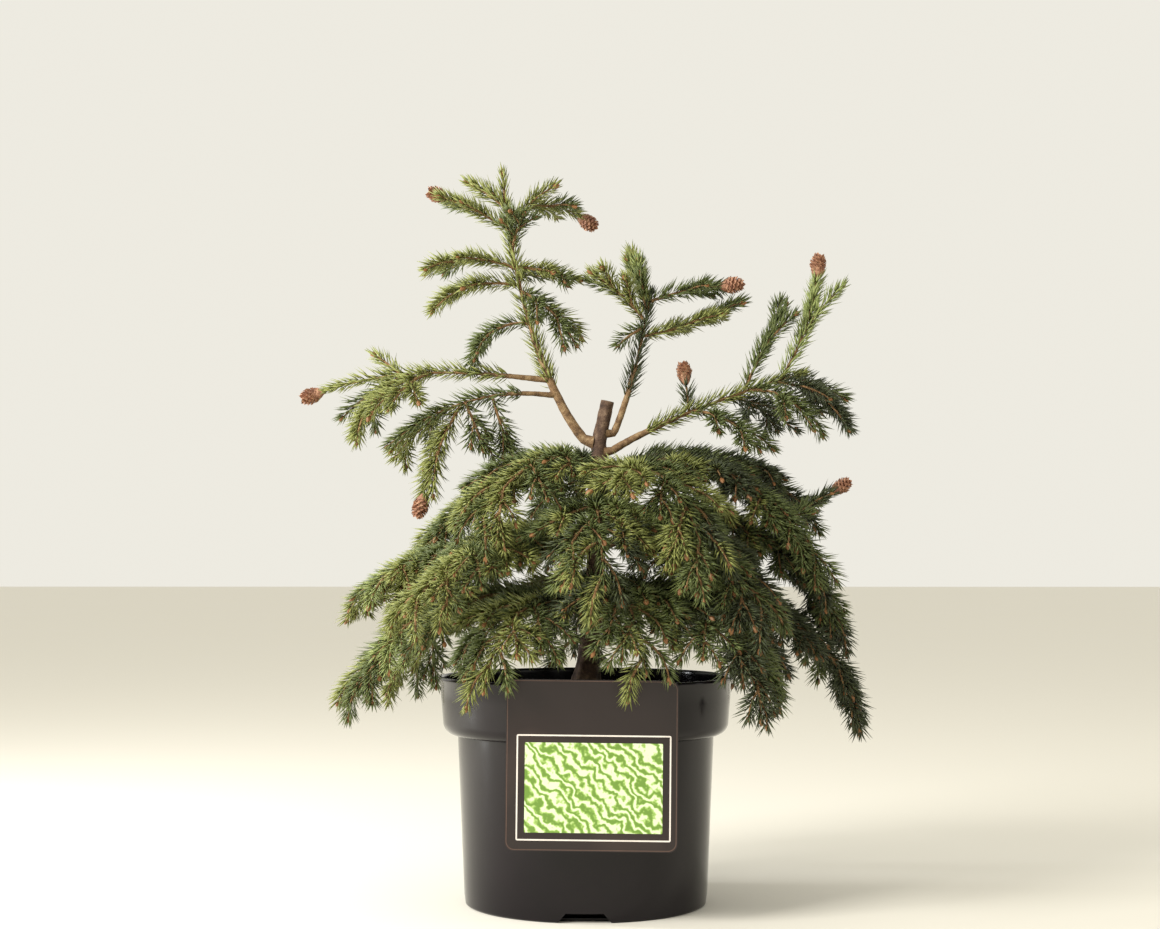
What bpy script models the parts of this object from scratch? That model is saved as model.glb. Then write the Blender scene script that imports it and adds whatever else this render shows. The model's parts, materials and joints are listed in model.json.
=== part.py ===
"""A young Norway spruce of the acrocona kind in its round nursery pot, with a hanging label card.

The trunk rises out of the compost, leans a little and forks below a pruned stub. Two leaders and four long
boughs leave it high up, and three tiers of arching boughs make a dense skirt that hangs over the rim.
Each bough is one bare limb, and the foliage mass on its tip is one twig that branches by a seeded rule.
Metres, +Z up; the origin is the middle of the pot's flat underside and the label faces -Y.
"""

import math
import random
from collections import namedtuple

import bpy
from mathutils import Quaternion, Vector
from mathutils.bvhtree import BVHTree

# Pot: a three-litre round nursery pot with a collar under its rim
POT_HEIGHT = 0.145
RIM_RADIUS = 0.095
RIM_WIDTH = 0.0030
COLLAR_HEIGHT = 0.037
COLLAR_RADIUS = 0.092
COLLAR_ROUND = 0.008
BODY_TOP_RADIUS = 0.0825
FOOT_RADIUS = 0.0778
FOOT_ROUND = 0.002
POT_WALL = 0.0015
POT_STEPS = 32
NOTCH_COUNT = 4
NOTCH_FOOT = 0.0330
NOTCH_TOP = 0.0230
NOTCH_HEIGHT = 0.0060
NOTCH_DEPTH = 0.0100

# Compost: a filled disc just under the rim, a little higher round the trunk
SOIL_LEVEL = 0.1330
SOIL_MOUND = 0.0050
SOIL_FLAT = 0.0130

# Label card: a thin plastic plate with a tongue that hooks over the rim
CARD_WIDTH = 0.103
CARD_HEIGHT = 0.102
CARD_CORNER = 0.005
CARD_THICKNESS = 0.0006
CARD_TOP = 0.1480
CARD_SHIFT = 0.0045
CARD_ROLL = math.radians(0.6)
CORNER_STEPS = 4
TONGUE_WIDTH = 0.018
TONGUE_SLACK = 0.0024
TONGUE_REACH = 0.0080

# Trunk
TRUNK_FOOT = SOIL_LEVEL + SOIL_MOUND
FORK_HEIGHT = 0.2960
STUB_HEIGHT = 0.3230
TRUNK_LEAN = 0.0085
STUB_LEAN = math.radians(12)
TRUNK_FOOT_RADIUS = 0.0068
TRUNK_FORK_RADIUS = 0.0048
STUB_RADIUS = 0.0042
FLARE = 0.0038
FLARE_HEIGHT = 0.0100
FLARE_LOBES = 5
TRUNK_SIDES = 10
TRUNK_RINGS = 9
STUB_RINGS = 2

# Limbs and foliage
GAP = 0.0003
CLEARANCE = 0.0005
LIMB_SIDES = 5
LIMB_RINGS = 5
LIMB_TIP_SHARE = 0.62
COLLAR_SWELL = 1.20
TANGENT_STEP = 0.002
CURVE_STEPS = 40
CORE_RADIUS = 0.0022
CORE_TIP_RADIUS = 0.0012
STALK = 0.007
NEEDLE = 0.0140
NEEDLE_LEAN = math.radians(42)
RING_SPACING = 0.0135
LOWEST_TIP = 0.0950
SPREAD = 0.085
STEM_CUT = 0.05
SHOOT_SPACING = 0.0320
SHOOT_LENGTH = 0.054
SHOOT_ANGLE = math.radians(48)
TRIES = 9
SEED = 20

# A bough leaves its parent at a height (trunk) or a share of its length (bough). Angles are in degrees:
# compass 0 is +X, 90 is +Y; rise is the slope at the root and droop the slope at the tip, reached by the
# power ease; bend turns the compass along the way. Bare is the share of the length that is the bare limb.
Bough = namedtuple("Bough", "name parent at compass rise droop ease bend length width bare")
BOUGHS = (
    Bough("left_leader", "trunk", 0.2960, 180, 42, 85, 0.4, -2, 0.186, 0.0066, 0.42),
    Bough("right_leader", "trunk", 0.3030, 0, 62, 80, 0.4, 0, 0.096, 0.0048, 0.50),
    Bough("left_long", "left_leader", 0.26, 184, 6, -20, 1.8, -6, 0.146, 0.0040, 0.28),
    Bough("left_second", "left_leader", 0.20, 198, 6, -42, 1.0, -8, 0.115, 0.0036, 0.30),
    Bough("right_high", "trunk", 0.2900, -6, 34, 16, 0.5, 8, 0.136, 0.0052, 0.36),
    Bough("right_second", "trunk", 0.2790, 24, 22, -46, 1.2, -10, 0.140, 0.0040, 0.32),
    Bough("top_left", "trunk", 0.2800, 172, 8, -74, 0.9, 8, 0.160, 0.0046, 0.24),
    Bough("top_right", "trunk", 0.2740, -12, 30, -82, 0.9, 14, 0.178, 0.0050, 0.30),
    Bough("top_front_left", "trunk", 0.2840, 232, 14, -62, 1.0, -10, 0.120, 0.0042, 0.26),
    Bough("top_front_right", "trunk", 0.2700, 300, 26, -72, 1.0, 6, 0.135, 0.0044, 0.26),
    Bough("top_back", "trunk", 0.2760, 96, 24, -58, 1.0, 10, 0.150, 0.0044, 0.28),
    Bough("middle_left", "trunk", 0.2260, 186, 6, -40, 1.6, -10, 0.158, 0.0044, 0.26),
    Bough("middle_right", "trunk", 0.2450, 4, 20, -74, 1.0, -8, 0.190, 0.0048, 0.28),
    Bough("middle_front", "trunk", 0.2500, 268, 20, -66, 1.0, 10, 0.130, 0.0042, 0.26),
    Bough("middle_front_left", "trunk", 0.2340, 218, 10, -48, 1.1, 10, 0.160, 0.0042, 0.26),
    Bough("middle_front_right", "trunk", 0.2280, 322, 22, -62, 1.0, -8, 0.155, 0.0042, 0.26),
    Bough("middle_back_right", "trunk", 0.2380, 58, 22, -56, 1.0, 8, 0.165, 0.0044, 0.26),
    Bough("middle_back_left", "trunk", 0.2320, 136, 20, -56, 1.0, 8, 0.165, 0.0044, 0.26),
    Bough("low_left", "trunk", 0.1860, 196, 26, -66, 1.0, -8, 0.176, 0.0046, 0.26),
    Bough("low_right", "trunk", 0.1880, 350, 32, -70, 1.0, 10, 0.186, 0.0046, 0.28),
    Bough("low_front_left", "trunk", 0.1800, 236, 34, -70, 1.0, 8, 0.140, 0.0040, 0.26),
    Bough("low_front", "trunk", 0.1940, 282, 32, -72, 1.0, 8, 0.135, 0.0040, 0.26),
    Bough("low_front_right", "trunk", 0.1800, 318, 36, -68, 1.0, -8, 0.165, 0.0040, 0.26),
    Bough("low_back_right", "trunk", 0.1840, 36, 32, -64, 1.0, 10, 0.175, 0.0044, 0.26),
    Bough("low_back", "trunk", 0.1900, 92, 34, -64, 1.0, 8, 0.165, 0.0044, 0.26),
    Bough("low_back_left", "trunk", 0.1840, 148, 32, -64, 1.0, -8, 0.170, 0.0044, 0.26),
)

# Shoots whose places are plain to see: share along the bough, compass, rise, droop, length, and a cone
Shoot = namedtuple("Shoot", "at compass rise droop length cone")
NAMED_SHOOTS = {
    "left_leader": (
        Shoot(0.46, 190, 10, -76, 0.048, False),
        Shoot(0.60, 176, 14, -42, 0.060, False),
        Shoot(0.58, 316, -20, -58, 0.062, False),
        Shoot(0.63, 60, 20, -6, 0.030, False),
        Shoot(0.66, 188, 26, -34, 0.061, False),
        Shoot(0.67, 352, -8, -20, 0.044, False),
        Shoot(0.73, 284, 46, 20, 0.034, False),
        Shoot(0.80, 184, 34, 20, 0.046, True),
        Shoot(0.83, 2, 46, -36, 0.052, True),
        Shoot(0.88, 178, 38, 34, 0.026, False),
        Shoot(0.91, 166, 26, 24, 0.028, False),
    ),
    "right_leader": (
        Shoot(0.70, 10, 10, 30, 0.066, False),
        Shoot(0.80, 216, 46, 26, 0.050, False),
        Shoot(0.94, -10, 20, 4, 0.048, True),
        Shoot(0.90, 160, 68, 74, 0.038, False),
        Shoot(0.86, 196, 74, 88, 0.034, False),
        Shoot(0.76, 222, -20, -40, 0.026, False),
    ),
    "left_long": (
        Shoot(0.50, 232, -14, -50, 0.050, False),
        Shoot(0.62, 206, -30, -72, 0.054, False),
        Shoot(0.64, 150, 40, 30, 0.024, False),
        Shoot(0.66, 136, -14, -60, 0.050, False),
    ),
    "left_second": (
        Shoot(0.52, 214, -56, -76, 0.066, True),
        Shoot(0.56, 150, -20, -50, 0.056, False),
        Shoot(0.50, 300, -44, -60, 0.040, False),
        Shoot(0.34, 318, -70, -60, 0.044, False),
    ),
    "right_high": (
        Shoot(0.42, 120, 84, 76, 0.020, True),
        Shoot(0.44, 318, -4, -50, 0.062, False),
        Shoot(0.60, 40, 8, -46, 0.056, False),
        Shoot(0.70, 20, 66, 60, 0.064, False),
        Shoot(0.72, 322, 4, -60, 0.060, False),
        Shoot(0.84, 344, 2, -66, 0.062, False),
        Shoot(0.88, 4, 56, 84, 0.074, True),
        Shoot(0.92, 40, 6, -50, 0.046, False),
    ),
    "middle_right": (
        Shoot(0.52, 350, 24, 32, 0.056, True),
    ),
}


def heading(compass, slope):
    """The unit direction of a compass angle and a slope above the horizontal, both in degrees."""
    flat = math.cos(math.radians(slope))
    return Vector((
        flat * math.cos(math.radians(compass)),
        flat * math.sin(math.radians(compass)),
        math.sin(math.radians(slope)),
    ))


def curve_from(start, compass, rise, droop, ease, bend, length):
    """Points of a stem whose slope and compass change evenly from its root to its tip."""
    step = length / CURVE_STEPS
    points = [start.copy()]
    for index in range(CURVE_STEPS):
        share = (index + 0.5) / CURVE_STEPS
        slope = rise + (droop - rise) * share ** ease
        points.append(points[-1] + step * heading(compass + bend * share, slope))
    return points


def along(points, share):
    """The place and the direction at a share of a curve's length."""
    place = min(max(share, 0.0), 1.0) * (len(points) - 1)
    first = min(int(place), len(points) - 2)
    run = points[first + 1] - points[first]
    return points[first] + run * (place - first), run.normalized()


def stretch(points, start, end, count):
    """Count points spaced evenly over part of a curve."""
    return [along(points, start + (end - start) * index / (count - 1))[0] for index in range(count)]


def frames_along(points, first_normal=None):
    """A tangent and two side directions at each point, carried along without twist."""
    tangents = []
    for index in range(len(points)):
        before = points[max(index - 1, 0)]
        after = points[min(index + 1, len(points) - 1)]
        tangents.append((after - before).normalized())
    if first_normal is not None:
        tangents[0] = first_normal.normalized()
    level = tangents[0].cross(Vector((0, 0, 1)))
    side = (level if level.length > 0.05 else tangents[0].cross(Vector((1, 0, 0)))).normalized()
    frames = []
    last = tangents[0]
    for tangent in tangents:
        side = last.rotation_difference(tangent) @ side
        side = (side - tangent * side.dot(tangent)).normalized()
        frames.append((tangent, side, side.cross(tangent).normalized()))
        last = tangent
    return frames


def ring_around(centre, frame, radii):
    """One ring of points round a centre, a radius for each, counted the right-handed way round."""
    _, side, other = frame
    ring = []
    for index, radius in enumerate(radii):
        angle = math.tau * index / len(radii)
        ring.append(centre + radius * (math.cos(angle) * side - math.sin(angle) * other))
    return ring


def tube(points, rings_of_radii, first_normal=None):
    """A closed tube through the points: its vertices and faces."""
    frames = frames_along(points, first_normal)
    vertices = []
    for centre, frame, radii in zip(points, frames, rings_of_radii):
        vertices.extend(ring_around(centre, frame, radii))
    sides = len(rings_of_radii[0])
    faces = [tuple(reversed(range(sides)))]
    for ring in range(len(points) - 1):
        for index in range(sides):
            following = (index + 1) % sides
            low = ring * sides
            high = low + sides
            faces.append((low + index, low + following, high + following, high + index))
    faces.append(tuple(range(len(vertices) - sides, len(vertices))))
    return vertices, faces


def needle_tip(base, tangent, axis_point, length):
    """The tip of a needle that leaves a face of the core outwards and leans towards the shoot's tip."""
    middle = sum(base, Vector()) / 3
    outward = middle - axis_point
    outward = (outward - tangent * outward.dot(tangent)).normalized()
    shortened = length * (1.0 - 0.28 * max(-outward.z, 0.0))
    return middle + shortened * (math.sin(NEEDLE_LEAN) * outward + math.cos(NEEDLE_LEAN) * tangent)


def spray(points, needle, spin, rng, grow=0.0, core=CORE_RADIUS, bare_rings=0):
    """A slim three-sided core along the points with a needle standing out of every other face.

    Grow swells the spray all round, for testing how near it comes to its neighbours. The first bare_rings
    stretches carry no needles.
    """
    frames = frames_along(points)
    count = len(points)
    vertices = []
    for index in range(count):
        share = index / (count - 1)
        radius = core + (CORE_TIP_RADIUS - core) * share + grow
        turn = spin + index * math.pi / 3
        _, side, other = frames[index]
        for corner in range(3):
            angle = turn + corner * math.tau / 3
            vertices.append(points[index] + radius * (math.cos(angle) * side - math.sin(angle) * other))
    faces = [(2, 1, 0)]
    for index in range(count - 1):
        low = 3 * index
        high = low + 3
        tangent = frames[index][0]
        centre = (points[index] + points[index + 1]) / 2
        for corner in range(3):
            following = (corner + 1) % 3
            base = (low + corner, low + following, high + corner)
            if index < bare_rings:
                faces.append(base)
                faces.append((low + following, high + following, high + corner))
                continue
            length = (needle + grow) * rng.uniform(0.82, 1.08)
            vertices.append(needle_tip([vertices[place] for place in base], tangent, centre, length))
            tip = len(vertices) - 1
            faces.extend(((base[0], base[1], tip), (base[1], base[2], tip), (base[2], base[0], tip)))
            faces.append((low + following, high + following, high + corner))
    return join_rings(vertices, faces, count, points, frames, needle + grow)


def join_rings(vertices, faces, count, points, frames, needle):
    """Puts the rings first, as the faces count them, and closes the tip with a bud point."""
    vertices.append(points[-1] + frames[-1][0] * needle * 0.7)
    bud = len(vertices) - 1
    low = 3 * (count - 1)
    for corner in range(3):
        faces.append((low + corner, low + (corner + 1) % 3, bud))
    return vertices, faces


def cone_shape(base, direction, length, radius):
    """A small faceted cone: rings that swell and close over a stalk end."""
    shares = (-0.10, 0.12, 0.45, 0.80)
    widths = (0.35, 0.90, 1.00, 0.55)
    points = [base + direction * length * share for share in shares]
    vertices, faces = tube(points, [[radius * width] * 6 for width in widths])
    vertices.append(base + direction * length)
    top = faces.pop()
    for index in range(len(top)):
        faces.append((top[index], top[(index + 1) % len(top)], len(vertices) - 1))
    return vertices, faces


def colour_material(name, colour, roughness, metallic=0.0):
    """A plain Principled material."""
    material = bpy.data.materials.new(name)
    material.use_nodes = True
    shader = material.node_tree.nodes["Principled BSDF"]
    shader.inputs["Base Color"].default_value = (*colour, 1.0)
    shader.inputs["Roughness"].default_value = roughness
    shader.inputs["Metallic"].default_value = metallic
    material.diffuse_color = (*colour, 1.0)
    return material


def new_object(name, vertices, faces, material, smooth=False, collection=None):
    """A mesh object of these faces, linked to the scene or to a collection."""
    mesh = bpy.data.meshes.new(name)
    mesh.from_pydata([tuple(vertex) for vertex in vertices], [], faces)
    mesh.validate()
    mesh.materials.append(material)
    if smooth:
        mesh.shade_smooth()
        mesh.set_sharp_from_angle(angle=math.radians(35))
    piece = bpy.data.objects.new(name, mesh)
    (collection or bpy.context.scene.collection).objects.link(piece)
    return piece


def revolve(profile, steps):
    """Turns a profile of (radius, height) points about Z. A point of radius 0 is one vertex on the axis."""
    vertices = []
    rings = []
    for radius, height in profile:
        if radius == 0:
            rings.append([len(vertices)] * steps)
            vertices.append(Vector((0, 0, height)))
            continue
        rings.append(list(range(len(vertices), len(vertices) + steps)))
        for step in range(steps):
            angle = math.tau * step / steps
            vertices.append(Vector((radius * math.cos(angle), radius * math.sin(angle), height)))
    faces = []
    for first, second in zip(rings, rings[1:]):
        for step in range(steps):
            following = (step + 1) % steps
            face = (first[step], first[following], second[following], second[step])
            faces.append(tuple(dict.fromkeys(face)))
    return vertices, faces


def arc(centre, radius, start, end, steps):
    """Points (radius, height) on an arc of a turned profile, angles in degrees."""
    return [
        (
            centre[0] + radius * math.cos(math.radians(start + (end - start) * step / steps)),
            centre[1] + radius * math.sin(math.radians(start + (end - start) * step / steps)),
        )
        for step in range(steps + 1)
    ]


def pot_profile():
    """The section of the pot, from the middle of its underside round the outside and back to its floor."""
    collar_foot = POT_HEIGHT - COLLAR_HEIGHT
    lip = RIM_WIDTH / 2
    outer = [(0, 0)]
    outer += arc((FOOT_RADIUS - FOOT_ROUND, FOOT_ROUND), FOOT_ROUND, -90, 0, 2)
    outer.append((BODY_TOP_RADIUS, collar_foot))
    outer += arc((COLLAR_RADIUS - COLLAR_ROUND, collar_foot + COLLAR_ROUND), COLLAR_ROUND, -80, 0, 3)
    outer.append((RIM_RADIUS - 0.0010, POT_HEIGHT - RIM_WIDTH))
    outer += arc((RIM_RADIUS - lip, POT_HEIGHT - lip), lip, 0, 180, 4)
    inner = [
        (RIM_RADIUS - RIM_WIDTH, POT_HEIGHT - RIM_WIDTH),
        (COLLAR_RADIUS - POT_WALL, collar_foot + COLLAR_ROUND),
        (BODY_TOP_RADIUS - POT_WALL, collar_foot + POT_WALL),
        (FOOT_RADIUS - POT_WALL, POT_WALL),
        (0, POT_WALL),
    ]
    return outer + inner


def build_pot(material):
    """The pot, with drainage notches cut in its foot."""
    pot = new_object("pot", *revolve(pot_profile(), POT_STEPS), material, smooth=True)
    cutters = bpy.data.collections.new("notch_cutters")
    bpy.context.scene.collection.children.link(cutters)
    for index in range(NOTCH_COUNT):
        cutter = notch_cutter(index, cutters)
        cutter.hide_render = True
        cutter.display_type = "WIRE"
    cut = pot.modifiers.new("notches", "BOOLEAN")
    cut.operand_type = "COLLECTION"
    cut.collection = cutters
    cut.solver = "EXACT"
    return pot


def notch_cutter(index, collection):
    """A trapezoid block across the foot, wider at the table than at its top."""
    turn = math.tau * index / NOTCH_COUNT - math.pi / 2
    outward = Vector((math.cos(turn), math.sin(turn), 0))
    sideways = Vector((-outward.y, outward.x, 0))
    below = -0.002
    widen = NOTCH_FOOT + (NOTCH_FOOT - NOTCH_TOP) * -below / NOTCH_HEIGHT
    corners = ((-widen, below), (widen, below), (NOTCH_TOP, NOTCH_HEIGHT), (-NOTCH_TOP, NOTCH_HEIGHT))
    vertices = []
    for reach in (FOOT_RADIUS - NOTCH_DEPTH, FOOT_RADIUS + 0.004):
        for width, height in corners:
            vertices.append(outward * reach + sideways * width / 2 + Vector((0, 0, height)))
    faces = [(0, 1, 2, 3), (7, 6, 5, 4), (0, 4, 5, 1), (1, 5, 6, 2), (2, 6, 7, 3), (3, 7, 4, 0)]
    faces = [tuple(reversed(face)) for face in faces]
    block = new_object(f"notch_cutter_{index}", vertices, faces, None, collection=collection)
    return block


def build_soil(material):
    """The compost that fills the pot: clear of the wall, and of the notches, by a small gap."""
    wall = POT_WALL + GAP
    collar_foot = POT_HEIGHT - COLLAR_HEIGHT
    profile = [
        (0, wall),
        (FOOT_RADIUS - NOTCH_DEPTH - GAP, wall),
        (FOOT_RADIUS - NOTCH_DEPTH - GAP, NOTCH_HEIGHT + GAP),
        (FOOT_RADIUS - wall, NOTCH_HEIGHT + GAP),
        (BODY_TOP_RADIUS - wall, collar_foot + wall + GAP),
        (COLLAR_RADIUS - wall, collar_foot + COLLAR_ROUND + 2 * GAP),
        (COLLAR_RADIUS - wall, SOIL_LEVEL - 0.0015),
        (COLLAR_RADIUS - 0.008, SOIL_LEVEL),
        (COLLAR_RADIUS * 0.55, SOIL_LEVEL + 0.0010),
        (COLLAR_RADIUS * 0.28, SOIL_LEVEL + 0.0028),
        (SOIL_FLAT, TRUNK_FOOT - GAP),
        (0, TRUNK_FOOT - GAP),
    ]
    return new_object("soil", *revolve(profile, POT_STEPS), material)


def rounded_outline(width, height, corner):
    """The corners of a rounded rectangle about the origin, as (across, up), right-handed."""
    outline = []
    for quarter, (across, up) in enumerate(((1, 1), (-1, 1), (-1, -1), (1, -1))):
        centre = (across * (width / 2 - corner), up * (height / 2 - corner))
        outline += arc(centre, corner, 90 * quarter, 90 * (quarter + 1), CORNER_STEPS)
    return outline


def build_card(material):
    """The label card in front of the collar, joined to a tongue that hooks over the rim."""
    front = -(RIM_RADIUS + GAP + CARD_THICKNESS)
    back = -(RIM_RADIUS + GAP)
    outline = rounded_outline(CARD_WIDTH, CARD_HEIGHT, CARD_CORNER)
    count = len(outline)
    vertices = [Vector((across, front, up)) for across, up in outline]
    vertices += [Vector((across, back, up)) for across, up in outline]
    faces = [tuple(range(count)), tuple(range(2 * count - 1, count - 1, -1))]
    for index in range(count):
        following = (index + 1) % count
        faces.append((following, index, index + count, following + count))
    middle = Vector((CARD_SHIFT, 0, CARD_TOP - CARD_HEIGHT / 2))
    roll = Quaternion((0, 1, 0), CARD_ROLL)
    vertices = [middle + roll @ vertex for vertex in vertices]
    card = new_object("label_card", vertices, faces, material)
    tongue = new_object("tongue", *tongue_shape(front), material)
    union = card.modifiers.new("tongue", "BOOLEAN")
    union.operation = "UNION"
    union.object = tongue
    union.solver = "EXACT"
    bake(card)
    bpy.data.objects.remove(tongue)
    return card


def tongue_shape(front):
    """A strip bent over the rim: up the card's back, across the lip and down inside it."""
    over = POT_HEIGHT + GAP
    inside = -(RIM_RADIUS - RIM_WIDTH - TONGUE_SLACK)
    outer = CARD_THICKNESS
    section = [
        (front + outer / 2, over - 0.004),
        (front + outer / 2, over + outer),
        (inside, over + outer),
        (inside, over - TONGUE_REACH),
        (inside - outer, over - TONGUE_REACH),
        (inside - outer, over),
        (front + outer, over),
        (front + outer, over - 0.004),
    ]
    vertices = []
    for across in (CARD_SHIFT - TONGUE_WIDTH / 2, CARD_SHIFT + TONGUE_WIDTH / 2):
        vertices += [Vector((across, depth, height)) for depth, height in section]
    count = len(section)
    faces = [tuple(range(count)), tuple(range(2 * count - 1, count - 1, -1))]
    for index in range(count):
        following = (index + 1) % count
        faces.append((following, index, index + count, following + count))
    return vertices, faces


def bake(piece):
    """Replaces an object's mesh by what its modifiers make of it."""
    bpy.context.view_layer.update()
    graph = bpy.context.evaluated_depsgraph_get()
    made = bpy.data.meshes.new_from_object(piece.evaluated_get(graph))
    piece.modifiers.clear()
    old = piece.data
    piece.data = made
    bpy.data.meshes.remove(old)


def trunk_point(height):
    """The trunk's axis at a height: it leans to +X, and the stub above the fork leans more."""
    climbed = min((height - TRUNK_FOOT) / (FORK_HEIGHT - TRUNK_FOOT), 1.0)
    lean = TRUNK_LEAN * (1 - (1 - climbed) ** 2)
    over = max(height - FORK_HEIGHT, 0.0) * math.tan(STUB_LEAN)
    return Vector((lean + over, 0, height))


def trunk_radius(height):
    """The trunk's radius at a height, without the root flare."""
    if height > FORK_HEIGHT:
        share = (height - FORK_HEIGHT) / (STUB_HEIGHT - FORK_HEIGHT)
        return TRUNK_FORK_RADIUS + (STUB_RADIUS - TRUNK_FORK_RADIUS) * share
    share = (height - TRUNK_FOOT) / (FORK_HEIGHT - TRUNK_FOOT)
    return TRUNK_FOOT_RADIUS + (TRUNK_FORK_RADIUS - TRUNK_FOOT_RADIUS) * share


def trunk_heights():
    """Heights of the trunk's rings: closer together in the root flare, and one at the fork itself."""
    shaft = FORK_HEIGHT - TRUNK_FOOT
    stub = STUB_HEIGHT - FORK_HEIGHT
    heights = [TRUNK_FOOT + shaft * (ring / TRUNK_RINGS) ** 1.35 for ring in range(TRUNK_RINGS + 1)]
    return heights + [FORK_HEIGHT + stub * ring / STUB_RINGS for ring in range(1, STUB_RINGS + 1)]


def build_trunk(material):
    """The trunk, from a flat cut on the compost to the top of its pruned stub."""
    points = []
    radii = []
    for height in trunk_heights():
        points.append(trunk_point(height))
        flare = math.exp(-(height - TRUNK_FOOT) / FLARE_HEIGHT)
        row = []
        for side in range(TRUNK_SIDES):
            lobe = 1 + 0.45 * math.cos(FLARE_LOBES * math.tau * side / TRUNK_SIDES)
            row.append(trunk_radius(height) + FLARE * flare * lobe)
        radii.append(row)
    shape = tube(points, radii, Vector((0, 0, 1)))
    return new_object("trunk", *shape, material, smooth=True)


class Plant:
    """What has grown so far: the curve of each bough, and the shapes that a new twig keeps clear of."""

    def __init__(self):
        self.curves = {}
        self.boughs = {}
        self.taken = []

    def add(self, owner, vertices, faces):
        low = Vector([min(vertex[axis] for vertex in vertices) for axis in range(3)])
        high = Vector([max(vertex[axis] for vertex in vertices) for axis in range(3)])
        self.taken.append((owner, low, high, BVHTree.FromPolygons(vertices, faces)))

    def touches(self, owner, carrier, vertices, faces):
        """Whether a shape meets anything but its own mass and the bough that carries it."""
        low = Vector([min(vertex[axis] for vertex in vertices) for axis in range(3)])
        high = Vector([max(vertex[axis] for vertex in vertices) for axis in range(3)])
        tree = None
        for other, other_low, other_high, other_tree in self.taken:
            if other in (owner, carrier):
                continue
            if any(low[axis] > other_high[axis] or high[axis] < other_low[axis] for axis in range(3)):
                continue
            tree = tree or BVHTree.FromPolygons(vertices, faces)
            if tree.overlap(other_tree):
                return True
        return False


def bough_root(plant, bough):
    """Where a bough leaves its parent, just clear of the parent's side, and the way out of it."""
    if bough.parent == "trunk":
        centre = trunk_point(bough.at)
        tangent = (trunk_point(bough.at + TANGENT_STEP) - trunk_point(bough.at - TANGENT_STEP)).normalized()
        radius = trunk_radius(bough.at)
    else:
        centre, tangent = along(plant.curves[bough.parent], bough.at)
        radius = limb_radius(plant.boughs[bough.parent], bough.at)
    outward = heading(bough.compass, 0)
    outward = (outward - tangent * outward.dot(tangent)).normalized()
    return centre + outward * (radius + GAP), outward


def limb_radius(bough, share):
    """The radius of a bough's limb at a share of the bough's whole length."""
    return bough.width / 2 * (1 - (1 - LIMB_TIP_SHARE) * min(share / bough.bare, 1.0))


def build_bough(plant, bough, material):
    """One tapering limb, swollen a little where it leaves its parent."""
    root, outward = bough_root(plant, bough)
    knee = root + outward * bough.width / 2 * (0.4 + math.sin(math.radians(max(bough.rise, 0))))
    curve = curve_from(knee, bough.compass, bough.rise, bough.droop, bough.ease, bough.bend, bough.length)
    plant.curves[bough.name] = curve
    plant.boughs[bough.name] = bough
    points = [root] + stretch(curve, 0, bough.bare, LIMB_RINGS)
    radii = [[bough.width / 2 * COLLAR_SWELL] * LIMB_SIDES]
    for ring in range(LIMB_RINGS):
        share = bough.bare * ring / (LIMB_RINGS - 1)
        radii.append([limb_radius(bough, share)] * LIMB_SIDES)
    vertices, faces = tube(points, radii, outward)
    plant.add(bough.name, vertices, faces)
    return new_object(f"bough_{bough.name}", vertices, faces, material, smooth=True)


def inside_space(points, stem):
    """Whether a twig stays within its mass's own space round the stem, and above the table."""
    for point in points:
        if point.z < LOWEST_TIP:
            return False
        if min((point - place).length for place in stem) > SPREAD:
            return False
    return True


def try_twig(plant, owner, stem, start, shoot, rng):
    """A twig at this start, turned or shortened until it fits, or None where it never does."""
    compass, rise, droop, length = shoot
    for attempt in range(TRIES):
        loose = 9 * attempt
        turned = compass + rng.uniform(-loose, loose)
        lifted = rise + rng.uniform(-loose, loose)
        sagged = droop + rng.uniform(-loose, loose)
        cut = length * (1 - 0.05 * attempt)
        curve = curve_from(start, turned, lifted, sagged, 1.0, 0, cut)
        rings = max(2, round((cut - STALK) / RING_SPACING) + 1)
        points = [start] + stretch(curve, STALK / cut, 1, rings)
        spin = rng.uniform(0, math.tau)
        seed = rng.random()
        if not inside_space(points[1:], stem):
            continue
        swollen = spray(points, NEEDLE, spin, random.Random(seed), CLEARANCE, bare_rings=1)
        shape = spray(points, NEEDLE, spin, random.Random(seed), bare_rings=1)
        if plant.touches(owner, owner, *swollen) or plant.touches(owner, owner, *shape):
            continue
        return curve, shape
    return None


def side_shoots(bough, curve, rng):
    """The shoots that leave a mass's stem by turns to its left and right, shorter towards its tip."""
    found = []
    share = bough.bare + 0.05
    side = rng.choice((-1, 1))
    while share < 0.95:
        _, tangent = along(curve, share)
        compass = math.degrees(math.atan2(tangent.y, tangent.x))
        slope = math.degrees(math.asin(max(-1.0, min(1.0, tangent.z))))
        left = (1 - share) / (1 - bough.bare)
        length = SHOOT_LENGTH * (0.62 + 0.42 * left) * rng.uniform(0.85, 1.12)
        swing = side * math.degrees(SHOOT_ANGLE) * rng.uniform(0.8, 1.15)
        rise = slope * 0.6 + rng.uniform(-4, 12)
        droop = min(slope, 0) - rng.uniform(22, 40)
        found.append((share, (compass + swing, rise, max(droop, -84), length), False))
        share += SHOOT_SPACING / bough.length * rng.uniform(0.85, 1.15)
        side = -side
    return found


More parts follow.
